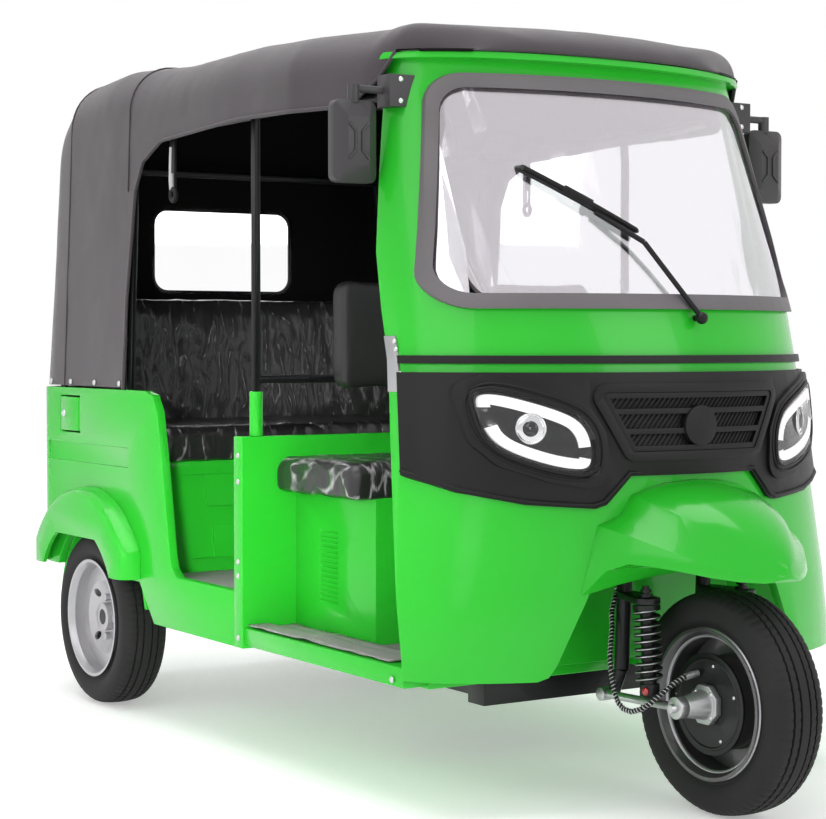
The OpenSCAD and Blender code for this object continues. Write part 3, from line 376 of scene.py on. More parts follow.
from_cad("windscreen", "windscreen_pane", glass, angle=40)
from_cad("screen_gasket", "screen_rubber", rubber, edge=0.008, angle=38)
from_cad("wiper", "wiper_arm", plastic, edge=0.001)
from_cad("belt_strip", "belt_strip_trim", plastic, edge=0.003, angle=38)
from_cad("dashboard", "dashboard_moulding", plastic, edge=0.004)
hinge_steel = finish("hinge_steel", (0.36, 0.36, 0.37), 0.42, metal=0.9, grain=300, bump=0.08,
                     vary=0.15)
from_cad("hinge_plates", "hinge_plates_zinc", hinge_steel, edge=0.001)
hinge_heads = [(on_cab(s * 581, z, 5.2), (0.35, s, 0))
               for s in (-1, 1) for z in (945, 968, 1022, 1040)]
screws("hinge_screws", hinge_heads, 0.006, "body", screw_zinc)


def tube(name, paths, radius, closed=False, sides=3):
    """Round bars along one or more rows of places, turned into one mesh."""
    line = bpy.data.curves.new(name, "CURVE")
    line.dimensions, line.bevel_depth, line.bevel_resolution = "3D", radius, sides
    line.use_fill_caps = True
    for points in paths:
        run = line.splines.new("POLY")
        run.points.add(len(points) - 1)
        for spot, p in zip(run.points, points):
            spot.co = (*p, 1)
        run.use_cyclic_u = closed
    bar = bpy.data.objects.new(name, line)
    scene.collection.objects.link(bar)
    pick(bar)
    bpy.ops.object.convert(target="MESH")
    return bpy.context.object


def bars(name, paths, radius, body, look, closed=False, sides=3):
    """Round bars with their finish, on the body they ride on."""
    return settle(tube(name, paths, radius, closed, sides), body, look)


# The blade's stiff back, from its tip to its heel, and the clip where the arm holds it.
spine = [on_cab(-318 + 226 * k / 12, 1428 - 138 * k / 12, 23) for k in range(13)]
bars("wiper_spine", [spine], 0.0055, "body", plastic)
bars("wiper_clip", [spine[4:8]], 0.0095, "body", plastic, sides=4)

# Nose mask: a grained black moulding clipped over the nose, with a raised rim along
# its lower edge, and a slatted grille with fine slanted ribs behind the slats.
from_cad("nose_mask", "nose_mask_moulding", plastic, edge=0.004, angle=38)
from_cad("grille", "grille_moulding", plastic, edge=0.0025, angle=38)
rim_low = [(-606, 756), (-527, 719), (-467, 705), (-407, 693), (-330, 686), (-266, 682),
           (-242, 689), (-210, 721), (-181, 751)]
rim_low += [(-y, z) for y, z in reversed(rim_low)]
bars("mask_rim", [[on_cab(y, z, 14) for y, z in rim_low]], 0.0045, "body", plastic)
hatch = []
for k in range(-30, 31):
    run = []
    for z in range(801, 926, 6):
        y = k * 13 + (z - 801) * 0.8
        if abs(y) < 166 + (z - 797) * 0.56 and math.hypot(y, z - 853) > 44:
            run.append(on_cab(y, z, 9.5))
        else:
            hatch.append(run)
            run = []
    hatch.append(run)
hatch = [run for run in hatch if len(run) > 1]
bars("grille_hatch", hatch, 0.0016, "body", plastic, sides=1)

# Headlamps: a clear cover in a double black bezel, a dark bowl with a white light
# guide in two parts round it, which carries a faint painted glow, and a bright ringed
# projector. Each is let into the mask.
lamp_line = [(502, 928), (474, 940), (440, 935), (400, 922), (350, 906), (312, 890), (290, 876),
             (272, 852), (262, 826), (260, 790), (264, 762), (285, 748), (320, 751), (356, 758),
             (400, 772), (447, 792), (472, 815), (486, 838), (496, 880)]
for _ in range(2):
    cut = []
    for k, (y, z) in enumerate(lamp_line):
        y2, z2 = lamp_line[(k + 1) % len(lamp_line)]
        cut += [(0.75 * y + 0.25 * y2, 0.75 * z + 0.25 * z2),
                (0.25 * y + 0.75 * y2, 0.25 * z + 0.75 * z2)]
    lamp_line = cut
bowl_black = finish("lamp_bowl_gloss", (0.008, 0.008, 0.009), 0.12, grain=200, bump=0.01, coat=0.6)
light_guide_painted_glow = finish("white_light_guide_painted_glow", (0.9, 0.88, 0.9), 0.35, grain=300, bump=0.02, vary=0.03)
guide_skin = node_of(light_guide_painted_glow, "BSDF_PRINCIPLED")
# Painted glow: a faint pinkish emission brightens the white guide.
guide_skin.inputs["Emission Color"].default_value = (1, 0.95, 0.98, 1)
guide_skin.inputs["Emission Strength"].default_value = 0.35
chrome = finish("chrome_ring", (0.8, 0.8, 0.82), 0.08, metal=1.0, grain=100, bump=0.01, vary=0.03)
cover = bpy.data.materials.new("clear_lamp_cover")
cover.use_nodes = True
web = cover.node_tree
shell = node_of(cover, "BSDF_PRINCIPLED")
shell.inputs["Transmission Weight"].default_value = 1.0
shell.inputs["IOR"].default_value = 1.12
shell.inputs["Coat Weight"].default_value = 0.25
shell.inputs["Coat Roughness"].default_value = 0.02
mist = web.nodes.new("ShaderNodeTexNoise")
mist.inputs["Scale"].default_value = 8.0
mist_spot = web.nodes.new("ShaderNodeTexCoord")
web.links.new(mist_spot.outputs["Object"], mist.inputs["Vector"])
mist_level = web.nodes.new("ShaderNodeMapRange")
mist_level.inputs["To Max"].default_value = 0.02
web.links.new(mist.outputs["Fac"], mist_level.inputs["Value"])
web.links.new(mist_level.outputs["Result"], shell.inputs["Roughness"])
from_cad("headlamp_housings", "lamp_bowls", bowl_black, edge=0.002, angle=38)
from_cad("headlamp_lenses", "lamp_covers", cover, edge=0.003, angle=38)
lamp_mid = (385, 850)


def shrunk(points, inset):
    """An outline drawn in by a distance, with its corners eased."""
    drawn = []
    for k, p in enumerate(points):
        along = (Vector(points[(k + 1) % len(points)]) - Vector(points[k - 1])).normalized()
        inward = Vector((-along.y, along.x))
        if inward.dot(Vector(lamp_mid) - Vector(p)) < 0:
            inward = -inward
        drawn.append(Vector(p) + inward * inset)
    count = len(drawn)
    for _ in range(10):
        drawn = [(drawn[k - 1] + drawn[k] * 2 + drawn[(k + 1) % count]) / 4 for k in range(count)]
    return [tuple(p) for p in drawn]


def from_bmesh(name, made):
    """A new piece from a built-up mesh, with its faces turned outwards."""
    bmesh.ops.recalc_face_normals(made, faces=made.faces)
    mesh = bpy.data.meshes.new(name)
    made.to_mesh(mesh)
    made.free()
    piece = bpy.data.objects.new(name, mesh)
    scene.collection.objects.link(piece)
    return piece


for side, hand in HANDS:
    ring_out, ring_in = shrunk(lamp_line, 12), shrunk(lamp_line, 35)
    guide = bmesh.new()
    for first, last in ((-4, 32), (36, 67)):
        rows = []
        for k in range(first, last + 1):
            corners = [(ring_out[k], 13), (ring_out[k], 19), (ring_in[k], 17), (ring_in[k], 13)]
            rows.append([guide.verts.new(on_cab(side * y, z, out)) for (y, z), out in corners])
        for near, far in zip(rows, rows[1:]):
            for k in range(4):
                guide.faces.new((near[k], near[(k + 1) % 4], far[(k + 1) % 4], far[k]))
        guide.faces.new(rows[0])
        guide.faces.new(reversed(rows[-1]))
    settle(from_bmesh("light_guide_" + hand, guide), "body", light_guide_painted_glow)
    bezel = [on_cab(side * y, z, 23) for y, z in lamp_line]
    bezel_outer = [on_cab(side * y, z, 22) for y, z in shrunk(lamp_line, -13)]
    bars("lamp_bezel_" + hand, [bezel], 0.005, "body", plastic, closed=True)
    bars("lamp_bezel_outer_" + hand, [bezel_outer], 0.003, "body", plastic,
         closed=True)
    centre = on_cab(side * 392, 850, 14)
    out = Vector((0.8, 0.6 * side, 0.0))
    bpy.ops.object.select_all(action="DESELECT")
    bpy.ops.mesh.primitive_torus_add(major_radius=0.031, minor_radius=0.0035, major_segments=40,
                                     minor_segments=10)
    ring = bpy.context.object
    bpy.ops.mesh.primitive_uv_sphere_add(segments=32, ring_count=16, radius=0.030)
    dish = bpy.context.object
    bpy.ops.mesh.primitive_uv_sphere_add(segments=32, ring_count=16, radius=0.019)
    ball = bpy.context.object
    for part, flat, label, look in ((ring, 0.7, "projector_ring_", chrome),
                                    (dish, 0.16, "projector_dish_", chrome),
                                    (ball, 0.5, "projector_eye_", bowl_black)):
        pick(part)
        bpy.ops.object.mode_set(mode="EDIT")
        bpy.ops.mesh.select_all(action="SELECT")
        bpy.ops.transform.resize(value=(1, 1, flat))
        bpy.ops.object.mode_set(mode="OBJECT")
        part.name = label + hand
        part.rotation_euler = out.to_track_quat("Z", "Y").to_euler()
        part.location = centre
        bpy.ops.object.transform_apply(location=True, rotation=True, scale=True)
        settle(part, "body", look)

# Mirrors: moulded black heads with facets pressed in their backs, on a stub arm
# that two bolts hold to the pillar.
mirror_shell = finish("grey_black_mirror_shell", (0.04, 0.037, 0.04), 0.42, grain=900, bump=0.08,
                      vary=0.1, spec=0.4)
from_cad("mirror_heads", "mirror_heads_moulding", mirror_shell, edge=0.003,
         angle=30)
mirror_face = finish("mirror_silver", (0.85, 0.86, 0.88), 0.03, metal=1.0, grain=50, bump=0.002,
                     vary=0.02)
from_cad("mirror_glass", "mirror_faces", mirror_face, edge=0.001)
for side, hand in HANDS:
    ridge = []
    for s in (-1, 1):
        ridge.append([at(x, side * 618 + s * y, z) for x, y, z in (
            (-543.5, 26, 1530), (-543, 9, 1512), (-543, 9, 1468), (-543.5, 26, 1450))])
    bars("mirror_ridges_" + hand, ridge, 0.0032, "body", mirror_shell)
bracket_heads = [(at(-536.5, s * 512, z), (1, 0, 0)) for s in (-1, 1) for z in (1585, 1634)]
screws("mirror_bolts", bracket_heads, 0.007, "body", screw_zinc)

# Rear body: pressed steel sides with swages, welded to rolled wheel arches and to the
# embossed seat riser, with a service flap that locks and a tail panel with a hinged door.
for node in ("quarter_right", "quarter_left", "tail_panel", "wheel_tubs", "rear_seat_base"):
    from_cad(node, node + "_painted", green, edge=0.004, angle=35)
from_cad("rear_arches", "rear_arches_painted", green, edge=0.002, angle=28)
from_cad("service_flap", "service_flap_painted", green, edge=0.0015)
from_cad("tail_door", "tail_door_painted", green, edge=0.004)
screws("flap_lock", [(at(-2207, -632.2, 828), (0, -1, 0))], 0.011, "service_flap", screw_zinc)
red_lens = finish("red_lamp_lens", (0.42, 0.006, 0.008), 0.12, grain=120, bump=0.1, coat=0.8)
from_cad("tail_lamps", "tail_lamp_lenses", red_lens, edge=0.006)
for name, size, place in (("blank_plate_holder", (0.006, 0.34, 0.12), at(-2419, 0, 560)),
                          ("tail_door_handle", (0.008, 0.11, 0.026), at(-2420, 0, 776))):
    bpy.ops.object.select_all(action="DESELECT")
    bpy.ops.mesh.primitive_cube_add(size=1)
    plate = bpy.context.object
    bpy.ops.object.mode_set(mode="EDIT")
    bpy.ops.mesh.select_all(action="SELECT")
    bpy.ops.transform.resize(value=size)
    bpy.ops.mesh.bevel(offset=0.0025, segments=3)
    bpy.ops.transform.translate(value=place)
    bpy.ops.object.mode_set(mode="OBJECT")
    plate.name = name
    settle(plate, "tail_door", plastic)

# Seats: foam benches and back pads in black grained vinyl, screwed to their boxes from
# below, three still in the thin clear film they came in, which creases and shines; the
# pale streaks on its creases are painted highlights in the colour.


def film(name, stretch, low, high, highlight_most):
    """Black vinyl under loose clear film, whose creases shine through a bumped coat and carry
    painted highlights, pale streaks in the colour.
    """
    made = finish(name, (0.014, 0.013, 0.014), 0.4, grain=500, bump=0.1, vary=0.2, spec=0.3)
    wrap = made.node_tree
    skin = node_of(made, "BSDF_PRINCIPLED")
    spot = node_of(made, "TEX_COORD")
    drawn = wrap.nodes.new("ShaderNodeMapping")
    drawn.inputs["Scale"].default_value = stretch
    drawn.inputs["Rotation"].default_value = (0.6, 0.3, 0.5)
    wrap.links.new(spot.outputs["Object"], drawn.inputs["Vector"])
    folds = wrap.nodes.new("ShaderNodeTexNoise")
    folds.noise_type = "RIDGED_MULTIFRACTAL"
    folds.inputs["Scale"].default_value = 1.0
    folds.inputs["Offset"].default_value = 1.0
    folds.inputs["Detail"].default_value = 5.0
    folds.inputs["Distortion"].default_value = 0.2
    wrap.links.new(drawn.outputs["Vector"], folds.inputs["Vector"])
    crease = wrap.nodes.new("ShaderNodeBump")
    crease.inputs["Strength"].default_value = 0.55
    crease.inputs["Distance"].default_value = 0.01
    wrap.links.new(folds.outputs["Fac"], crease.inputs["Height"])
    wrap.links.new(crease.outputs["Normal"], skin.inputs["Coat Normal"])
    skin.inputs["Coat Weight"].default_value = 0.5
    skin.inputs["Coat Roughness"].default_value = 0.12
    # Painted highlight: along the ridges of the crease noise the colour is mixed towards a pale
    # grey, which stands in for light shining off the film's folds.
    crease_highlight_mask = wrap.nodes.new("ShaderNodeMapRange")
    crease_highlight_mask.inputs["From Min"].default_value, crease_highlight_mask.inputs["From Max"].default_value = low, high
    crease_highlight_mask.inputs["To Max"].default_value = highlight_most
    wrap.links.new(folds.outputs["Fac"], crease_highlight_mask.inputs["Value"])
    painted_crease_highlight = wrap.nodes.new("ShaderNodeMix")
    painted_crease_highlight.data_type = "RGBA"
    painted_crease_highlight.inputs["B"].default_value = (0.6, 0.56, 0.6, 1)
    wrap.links.new(skin.inputs["Base Color"].links[0].from_socket, painted_crease_highlight.inputs["A"])
    wrap.links.new(crease_highlight_mask.outputs["Result"], painted_crease_highlight.inputs["Factor"])
    wrap.links.new(painted_crease_highlight.outputs["Result"], skin.inputs["Base Color"])
    return made


# Both films carry painted highlights on their creases; the driver's cushion has brighter ones and
# more of them.
film_faint_painted_highlight = film("film_over_black_vinyl_painted_highlight", (5.0, 22.0, 8.0), 1.45, 1.95, 0.55)
film_strong_painted_highlight = film("film_on_vinyl_strong_painted_highlight", (9.0, 34.0, 12.0), 1.15, 1.85, 0.8)
vinyl = finish("black_seat_vinyl", (0.016, 0.015, 0.016), 0.45, grain=700, bump=0.25, vary=0.15)


def cushion(node, name, look, cap, crumple=0.0):
    """A pad swelled by cloth under pressure from a remeshed copy of its CAD solid."""
    pad = bpy.data.objects.new(name, frame["nodes"][node].data.copy())
    scene.collection.objects.link(pad)
    pick(pad)
    bpy.ops.object.mode_set(mode="EDIT")
    bpy.ops.mesh.select_all(action="SELECT")
    bpy.ops.mesh.remove_doubles(threshold=0.00004)
    bpy.ops.mesh.normals_make_consistent(inside=False)
    bpy.ops.object.mode_set(mode="OBJECT")
    pad.data.remesh_voxel_size = 0.011
    bpy.ops.object.voxel_remesh()
    start = [v.co.copy() for v in pad.data.vertices]
    low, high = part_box(node)
    cloth = pad.modifiers.new("stuffing", "CLOTH")
    cloth.settings.use_pressure = True
    cloth.settings.uniform_pressure_force = 4.0
    cloth.settings.effector_weights.gravity = 0.0
    cloth.settings.quality = 4
    for step in range(1, 19):
        scene.frame_set(step)
    bpy.ops.object.modifier_apply(modifier=cloth.name)
    scene.frame_set(1)
    for v, home in zip(pad.data.vertices, start):
        move = v.co - home
        if move.length > cap:
            move = move.normalized() * cap
        where = home + move
        for k in range(3):
            where[k] = min(max(where[k], low[k] - 0.004), high[k] + 0.006)
        v.co = where
    smooth = pad.modifiers.new("rounding", "SMOOTH")
    smooth.factor, smooth.iterations = 0.5, 6
    bpy.ops.object.modifier_apply(modifier=smooth.name)
    if crumple:
        close = pad.modifiers.new("close_mesh", "SUBSURF")
        close.levels = close.render_levels = 1
        bpy.ops.object.modifier_apply(modifier=close.name)
        rumple = bpy.data.textures.new(name + "_rumple", "STUCCI")
        rumple.noise_scale, rumple.turbulence = 0.05, 8.0
        slack = pad.modifiers.new("slack_film", "DISPLACE")
        slack.texture, slack.strength, slack.mid_level = rumple, crumple, 0.6
        slack.texture_coords = "LOCAL"
        bpy.ops.object.modifier_apply(modifier=slack.name)
    settle(pad, "body", look, angle=80)
    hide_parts(node)
    return pad


cushion("driver_cushion", "driver_cushion_pad", film_strong_painted_highlight, 0.012, 0.004)
cushion("rear_cushion", "rear_bench_pad", film_faint_painted_highlight, 0.012, 0.004)
cushion("rear_backrest", "rear_back_pad", film_faint_painted_highlight, 0.012, 0.004)
cushion("driver_backrest", "driver_back_pad", vinyl, 0.012)

# Hood frame: round black steel tubes fixed to the body's sides and the bulkhead, with
# the grab straps that hang from the edge rails, each with a pale band on it that is a
# painted highlight.
STRAP_Y = 585
from_cad("canopy_frame", "hood_tubes", black_paint, angle=40)
from_cad("hand_straps", "grab_straps", plastic, edge=0.002)
# Painted highlight: a pale grey tube over each black strap stands in for the bright band that light
# makes along it.
strap_painted_highlight = finish("strap_band_painted_highlight", (0.5, 0.49, 0.5), 0.35, grain=500, bump=0.1)
for side, hand in HANDS:
    turns = [math.pi * k / 12 for k in range(24)]
    loop = [at(-1564 + 15 * math.sin(a), side * STRAP_Y, 1432 + 16 * math.cos(a)) for a in turns]
    bars("strap_ring_" + hand, [loop], 0.0065, "body", plastic, closed=True)
    strap_band_path = [at(x, side * STRAP_Y, z)
              for x, z in ((-1571, 1560), (-1574, 1520), (-1576, 1470), (-1572, 1446))]
    bars("strap_painted_highlight_band_" + hand, [strap_band_path], 0.0075, "body", strap_painted_highlight)

# Hood: one sheet of coated cloth over the bows, dark grey outside, that sags a little
# between them, with sewn seams, a bound edge and press studs along its foot.
hood_cloth = finish("grey_hood_cloth", (0.055, 0.046, 0.052), 0.55, grain=900, bump=0.3, vary=0.1,
                    patch=3.0, spec=0.3)
cloth_skin = node_of(hood_cloth, "BSDF_PRINCIPLED")
cloth_skin.inputs["Sheen Weight"].default_value = 0.25
cloth_skin.inputs["Sheen Roughness"].default_value = 0.4
lining = finish("black_hood_lining", (0.006, 0.006, 0.006), 0.8, grain=700, bump=0.2, spec=0.1)
# Place of each section of the hood, with its half width at the foot and at the
# shoulder, the height of its top and the radius of its bend.
HOOD = ((-560, 516, 512, 1770, 68), (-600, 541, 533, 1770, 88), (-640, 560, 548, 1768, 110),
        (-900, 612, 600, 1778, 120), (-1200, 632, 606, 1792, 130), (-1600, 632, 606, 1790, 130),
        (-1950, 632, 606, 1814, 130), (-2200, 632, 602, 1802, 140), (-2310, 632, 594, 1738, 140),
        (-2375, 616, 570, 1650, 130), (-2415, 544, 520, 1560, 120))
# Place and height of the hood's lower edge, and the places of the bows.
EDGE = ((-2500, 906), (-1794, 906), (-1785, 1153), (-1745, 1454), (-1700, 1530), (-1591, 1578),
        (-1144, 1595), (-687, 1585), (-600, 1640), (-560, 1700))
BOWS = (-640, -1188, -1950, -2310)
BACK_X, DOOR_X, WINDOW_Z = -2415, -1794, 1325


def between(rows, x):
    """The values of a table of rows at a place along the vehicle."""
    rows = sorted(rows)
    for low, high in zip(rows, rows[1:]):
        if low[0] <= x <= high[0]:
            t = (x - low[0]) / (high[0] - low[0])
            return [low[k] + t * (high[k] - low[k]) for k in range(1, len(low))]
    return rows[0][1:] if x < rows[0][0] else rows[-1][1:]


def hood_half(x, push=0.0):
    """Half of the hood's section at a place, from its edge up to the middle of the roof."""
    foot, wide, top, bend = between(HOOD, x)
    edge = between(EDGE, x)[0]
    sag = 0.0
    for back, front in zip(BOWS[1:], BOWS):
        if back < x < front:
            sag = 16 * math.sin(math.pi * (x - back) / (front - back)) ** 2
    shoulder = top - bend
    section = []
    for k in range(15):
        z = edge + (shoulder - edge) * k / 15
        y = foot + (wide - foot) * (z - 865) / (shoulder - 865)
        section.append((y + push, z))
    for k in range(11):
        turn = math.radians(9 * k)
        out, up = math.cos(turn), math.sin(turn)
        section.append((wide - bend + bend * out + push * out, shoulder + bend * up + push * up))
    for k in range(1, 11):
        y = (wide - bend) * (1 - k / 10)
        rise = math.sin(math.pi * k / 20)
        section.append((y, top + 12 * rise - sag * rise + push))
    return section


stations = {-2386, -2396, -2406, BACK_X}
for first, gap, count in ((-560, 10, 8), (-640, 20, 56), (-1700, 9, 5), (-1745, 4, 13),
                          (DOOR_X, 24, 25)):
    stations |= {first - gap * k for k in range(count)}
stations = sorted((x for x in stations if x >= BACK_X), reverse=True)
hood = bmesh.new()
rings = []
for x in stations:
    half = hood_half(x)
    points = [(-y, z) for y, z in half] + [(y, z) for y, z in reversed(half[:-1])]
    rings.append([hood.verts.new(at(x, y, z)) for y, z in points])
for near, far in zip(rings, rings[1:]):
    for k in range(len(near) - 1):
        hood.faces.new((near[k], near[k + 1], far[k + 1], far[k]))
front = rings[0]
n = len(front)
roll = [front]
for step in range(1, 10):
    t = min(1.0, step / 8)
    row = []
    for k, v in enumerate(front):
        angle = math.radians(74.7) * (2 * k / (n - 1) - 1)
        reach = 1.0 if step < 9 else 0.94
        lip = at(-620 + 229 * reach * math.cos(angle), 531 * reach * math.sin(angle), 1701)
        swell = v.co.lerp(lip, math.sin(t * math.pi / 2))
        swell.z = v.co.z + (lip.z - v.co.z) * (1 - math.cos(t * math.pi / 2))
        row.append(hood.verts.new(swell))
    roll.append(row)
for near, far in zip(roll, roll[1:]):
    for k in range(n - 1):
        hood.faces.new((near[k + 1], near[k], far[k], far[k + 1]))
tail = rings[-1]
columns = 20
across = []
for k in range(n // 2 + 1):
    right, left = tail[k], tail[n - 1 - k]
    if right is left:
        across.append([right] * (columns + 1))
        continue
    row = [right]
    for c in range(1, columns):
        row.append(hood.verts.new(right.co.lerp(left.co, c / columns)))
    across.append(row + [left])
for low, high in zip(across, across[1:]):
    for c in range(columns):
        corners = [low[c], low[c + 1], high[c + 1], high[c]]
        corners = list(dict.fromkeys(corners))
        if len(corners) > 2:
            hood.faces.new(corners)
hood_piece = from_bmesh("hood_cloth", hood)
pick(hood_piece)
soften = hood_piece.modifiers.new("soft_form", "SMOOTH")
soften.factor, soften.iterations = 0.3, 2
bpy.ops.object.modifier_apply(modifier=soften.name)
fine = hood_piece.modifiers.new("fine_form", "SUBSURF")
fine.levels = fine.render_levels = 1
bpy.ops.object.modifier_apply(modifier=fine.name)
creased = bpy.data.textures.new("hood_creases", "CLOUDS")
creased.noise_scale = 0.22
pull = hood_piece.modifiers.new("slack", "DISPLACE")
pull.texture, pull.strength, pull.mid_level = creased, 0.006, 0.55
pull.texture_coords = "LOCAL"
bpy.ops.object.modifier_apply(modifier=pull.name)
thick = hood_piece.modifiers.new("cloth_gauge", "SOLIDIFY")
thick.thickness, thick.offset, thick.material_offset = 0.0035, -1.0, 1
hood_piece.data.materials.append(hood_cloth)
hood_piece.data.materials.append(lining)
bpy.ops.object.modifier_apply(modifier=thick.name)
bpy.ops.object.select_all(action="DESELECT")
bpy.ops.mesh.primitive_cube_add(size=1)
cutter = bpy.context.object
bpy.ops.object.mode_set(mode="EDIT")
bpy.ops.mesh.select_all(action="SELECT")
bpy.ops.transform.resize(value=(0.4, 0.48, 0.25))
bpy.ops.mesh.select_all(action="DESELECT")
shape = bmesh.from_edit_mesh(cutter.data)
for e in shape.edges:
    run = e.verts[0].co - e.verts[1].co
    e.select_set(abs(run.x) > 0.1)
bmesh.update_edit_mesh(cutter.data)
bpy.ops.mesh.bevel(offset=0.045, segments=6)
bpy.ops.mesh.select_all(action="SELECT")
bpy.ops.transform.translate(value=at(BACK_X, 0, WINDOW_Z))
bpy.ops.object.mode_set(mode="OBJECT")
bpy.context.view_layer.objects.active = hood_piece
window = hood_piece.modifiers.new("window", "BOOLEAN")
window.operation, window.object, window.solver = "DIFFERENCE", cutter, "EXACT"
bpy.ops.object.modifier_apply(modifier=window.name)
bpy.data.objects.remove(cutter)
bpy.ops.object.shade_smooth_by_angle(angle=math.radians(50))
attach(hood_piece, "body")
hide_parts("canopy")
clear_film = finish("clear_window_film", (0.97, 0.97, 0.97), 0.06, grain=30, bump=0.02, vary=0.02,
                    patch=2.0)
film_skin = node_of(clear_film, "BSDF_PRINCIPLED")
film_skin.inputs["Transmission Weight"].default_value = 1.0
film_skin.inputs["IOR"].default_value = 1.1
from_cad("rear_window", "rear_window_film", clear_film, angle=40)
seams = []
for x in (-1790, -2205):
    half = [p for p in hood_half(x, 1.0) if p[1] > 1450 or x < -2000]
    seams.append([at(x, -y, z) for y, z in half] + [at(x, y, z) for y, z in reversed(half[:-1])])
bars("hood_seams", seams, 0.0022, "body", hood_cloth, sides=2)
hem = []
for s in (-1, 1):
    hem.append([at(x, s * hood_half(x)[0][0], hood_half(x)[0][1]) for x in stations if x >= DOOR_X])
bars("hood_hem", hem, 0.005, "body", hood_cloth, sides=2)
welt = []
for turn, y, z in ((0, 195, 80), (90, -195, 80), (180, -195, -80), (270, 195, -80)):
    for k in range(9):
        a = math.radians(turn + 90 * k / 8)
        welt.append(at(-2417, y + 50 * math.cos(a), WINDOW_Z + z + 50 * math.sin(a)))
bars("window_welt", [welt], 0.006, "body", hood_cloth, closed=True)
studs = []
for s in (-1, 1):
    for x in (-1815, -1985, -2155, -2300):
        studs.append((at(x, s * 633, 922), (0, s, 0)))
for y in (-400, -200, 0, 200, 400):
    studs.append((at(-2416, y, 922), (-1, 0, 0)))
screws("hood_studs", studs, 0.0085, "body", screw_zinc)

# Wheels: pressed steel rims bolted to their hubs, silver at the rear and dark in front,
# in road tyres with four grooves round the tread and short cuts across it.
tyre_rubber = finish("tyre_rubber", (0.016, 0.0155, 0.016), 0.68, grain=350, bump=0.15, vary=0.2,
                     patch=9.0, spec=0.25)
rim_silver = finish("silver_rim_paint", (0.42, 0.41, 0.43), 0.36, metal=0.75, grain=260, bump=0.03,
                    vary=0.06, coat=0.3)
rim_dark = finish("dark_front_rim", (0.10, 0.095, 0.10), 0.3, metal=0.6, grain=260, bump=0.03,
                  vary=0.1, coat=0.4)
# Radius and place across the tyre, from the bead to the middle of the tread.
tread = [(155.5, -49), (160, -55), (175.5, -56.7), (180, -60), (190, -64.5), (202, -67.3),
         (215, -66.8), (226, -64), (232, -60.5), (237, -55), (241, -49), (243.2, -43),
         (244.2, -38), (244.5, -34.5), (239, -33.5), (239, -30), (245.5, -29), (246.3, -20),
         (246.6, -15.5), (240.5, -14.5), (240.5, -11), (246.8, -10), (247, 0)]
tread += [(r, -w) for r, w in reversed(tread[:-1])]
steps = 288
for node, label, mid_x, mid_y, body in (
    ("rear_tyre_right", "tyre_rear_right", -2000, -575, "rear_wheel_right"),
    ("rear_tyre_left", "tyre_rear_left", -2000, 575, "rear_wheel_left"),
    ("front_tyre", "tyre_front", 0, 0, "front_wheel"),
):
    made = bmesh.new()
    hoops = []
    for k in range(steps):
        turn = 2 * math.pi * k / steps
        hoop = []
        for j, (r, w) in enumerate(tread):
            if k % 4 == 0 and 8 <= min(j, len(tread) - 1 - j) <= 18:
                r -= 1.8
            spot = at(mid_x + r * math.cos(turn), mid_y + w, AXLE_Z + r * math.sin(turn))
            hoop.append(made.verts.new(spot))
        hoops.append(hoop)
    for k in range(steps):
        near, far = hoops[k], hoops[(k + 1) % steps]
        for j in range(len(tread)):
            i = (j + 1) % len(tread)
            made.faces.new((near[j], near[i], far[i], far[j]))
    piece = from_bmesh(label, made)
    settle(piece, body, tyre_rubber, angle=24)
    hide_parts(node)
from_cad("rear_rim_right", "rim_rear_right", rim_silver, edge=0.0012, angle=30)
from_cad("rear_rim_left", "rim_rear_left", rim_silver, edge=0.0012, angle=30)
from_cad("front_rim", "rim_front", rim_dark, edge=0.0012, angle=30)

# Front gear: a black fork that turns in the head tube, with links and coil dampers
# pinned to it, and a drum brake that a cast anchor holds, fed by a hose in a wire guard.
DAMPER_Y = 140
cast = finish("cast_alloy", (0.52, 0.52, 0.53), 0.42, metal=0.85, grain=240, bump=0.2, vary=0.12)
from_cad("fork", "fork_painted", black_paint, edge=0.002)
from_cad("handlebar", "handlebar_painted", black_paint, angle=40)
from_cad("hand_controls", "hand_grips", plastic, edge=0.002)
from_cad("link_arms", "links_turned", steel_bare, edge=0.001)
from_cad("brake_plate", "brake_plate_painted", black_paint, edge=0.002)
from_cad("brake_anchor", "brake_anchor_cast", cast, edge=0.002)
from_cad("brake_hose", "brake_hose_rubber", tyre_rubber, angle=50)
anchor_heads = [(at(36 * math.cos(a), -72.3, AXLE_Z + 36 * math.sin(a)), (0, -1, 0))
                for a in (0.785, 2.356, 3.927, 5.498)]
screws("anchor_bolts", anchor_heads, 0.006, "steering", screw_zinc)
plate_heads = [(at(86 * math.cos(a), -56.4, AXLE_Z + 86 * math.sin(a)), (0, -1, 0))
               for a in (0.3, 1.4, 3.6, 5.2)]
screws("drum_screws", plate_heads, 0.0045, "steering", screw_zinc)
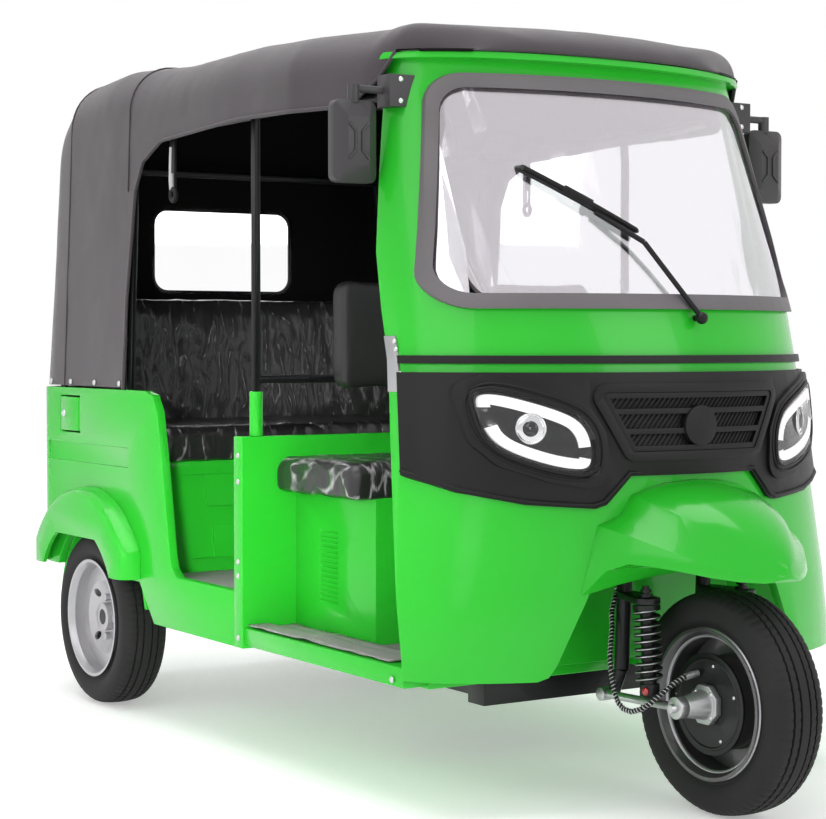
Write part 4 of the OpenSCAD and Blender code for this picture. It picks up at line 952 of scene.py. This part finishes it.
for s, hand in HANDS:
    foot, head = at(-98, s * DAMPER_Y, 262), at(-111, s * DAMPER_Y, 447)
    up = (head - foot).normalized()
    side = up.cross(Vector((0, 1, 0))).normalized()
    turned = up.cross(side)
    coil, edge = [], []
    for k in range(229):
        a = 2 * math.pi * k / 24
        ray = side * math.cos(a) + turned * math.sin(a)
        along = foot.lerp(head, 0.16 + 0.84 * k / 228)
        coil.append(along + ray * 0.0265)
        edge.append(along + ray * 0.0302)
    spring = bars("spring_" + hand, [coil], 0.0042, "steering", black_paint)
    if s < 0:
        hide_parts("front_shocks")
    bars("spring_edge_" + hand, [edge], 0.0012, "steering", steel_bare, sides=1)
    core = [([foot, foot.lerp(head, 0.99)], 0.0155), ([foot, foot.lerp(head, 0.12)], 0.022),
            ([head, head + up * 0.011], 0.031)]
    for x, z, top_x, top_z, radius in ((-112, 475, -113, 482, 0.016), (-112, 475, -114, 500, 0.008),
                                       (-113, 486, -113.5, 493, 0.0125)):
        core.append(([at(x, s * DAMPER_Y, z), at(top_x, s * DAMPER_Y, top_z)], radius))
    for k, (run, radius) in enumerate(core):
        bars("damper_%d_%s" % (k, hand), [run], radius, "steering", black_paint,
             sides=6)
screws("foot_reflector", [(at(-86, -163, 272), (0.2, -1, 0))], 0.009, "steering", red_lens)
# The brake hose's way from the fork's clip down to the drum.
ROUTE = ((-239.3, -116, 530), (-241, -117.5, 500), (-243, -122, 465), (-236, -138.5, 430),
         (-217, -152, 398), (-204, -166, 365), (-194, -176, 335), (-186, -180, 308),
         (-179, -180, 283), (-172, -180, 258), (-160, -180, 238), (-140, -180, 226),
         (-114, -179, 224), (-86, -174, 234), (-64, -162, 252), (-50, -144, 272),
         (-42, -122, 290), (-36, -100, 303), (-30, -80, 310), (-28, -64, 312))
wire, turn = [], 0.0
for a, b in zip(ROUTE, ROUTE[1:]):
    a, b = at(*a), at(*b)
    ahead = (b - a).normalized()
    side = ahead.cross(Vector((0.3, 0.2, 0.9))).normalized()
    turned = ahead.cross(side)
    count = max(2, int((b - a).length / 0.0009))
    for k in range(count):
        turn += 2 * math.pi * (b - a).length / count / 0.0085
        ray = side * math.cos(turn) + turned * math.sin(turn)
        wire.append(a.lerp(b, k / count) + ray * 0.0058)
bars("hose_guard", [wire], 0.0012, "steering", steel_bare, sides=1)
fittings = [[at(-34, -94, 305), at(-28, -62, 312)], [at(-240, -116.5, 514), at(-239.3, -116, 532)]]
bars("hose_fittings", fittings, 0.008, "steering", steel_bare, sides=4)
turns = [math.pi * k / 48 for k in range(96)]
lips = [[at(r * math.cos(a), y, AXLE_Z + r * math.sin(a)) for a in turns]
        for r, y in ((162.5, -53), (151, -45))]
bars("rim_lip_front", lips, 0.0065, "front_wheel", rim_silver, closed=True)
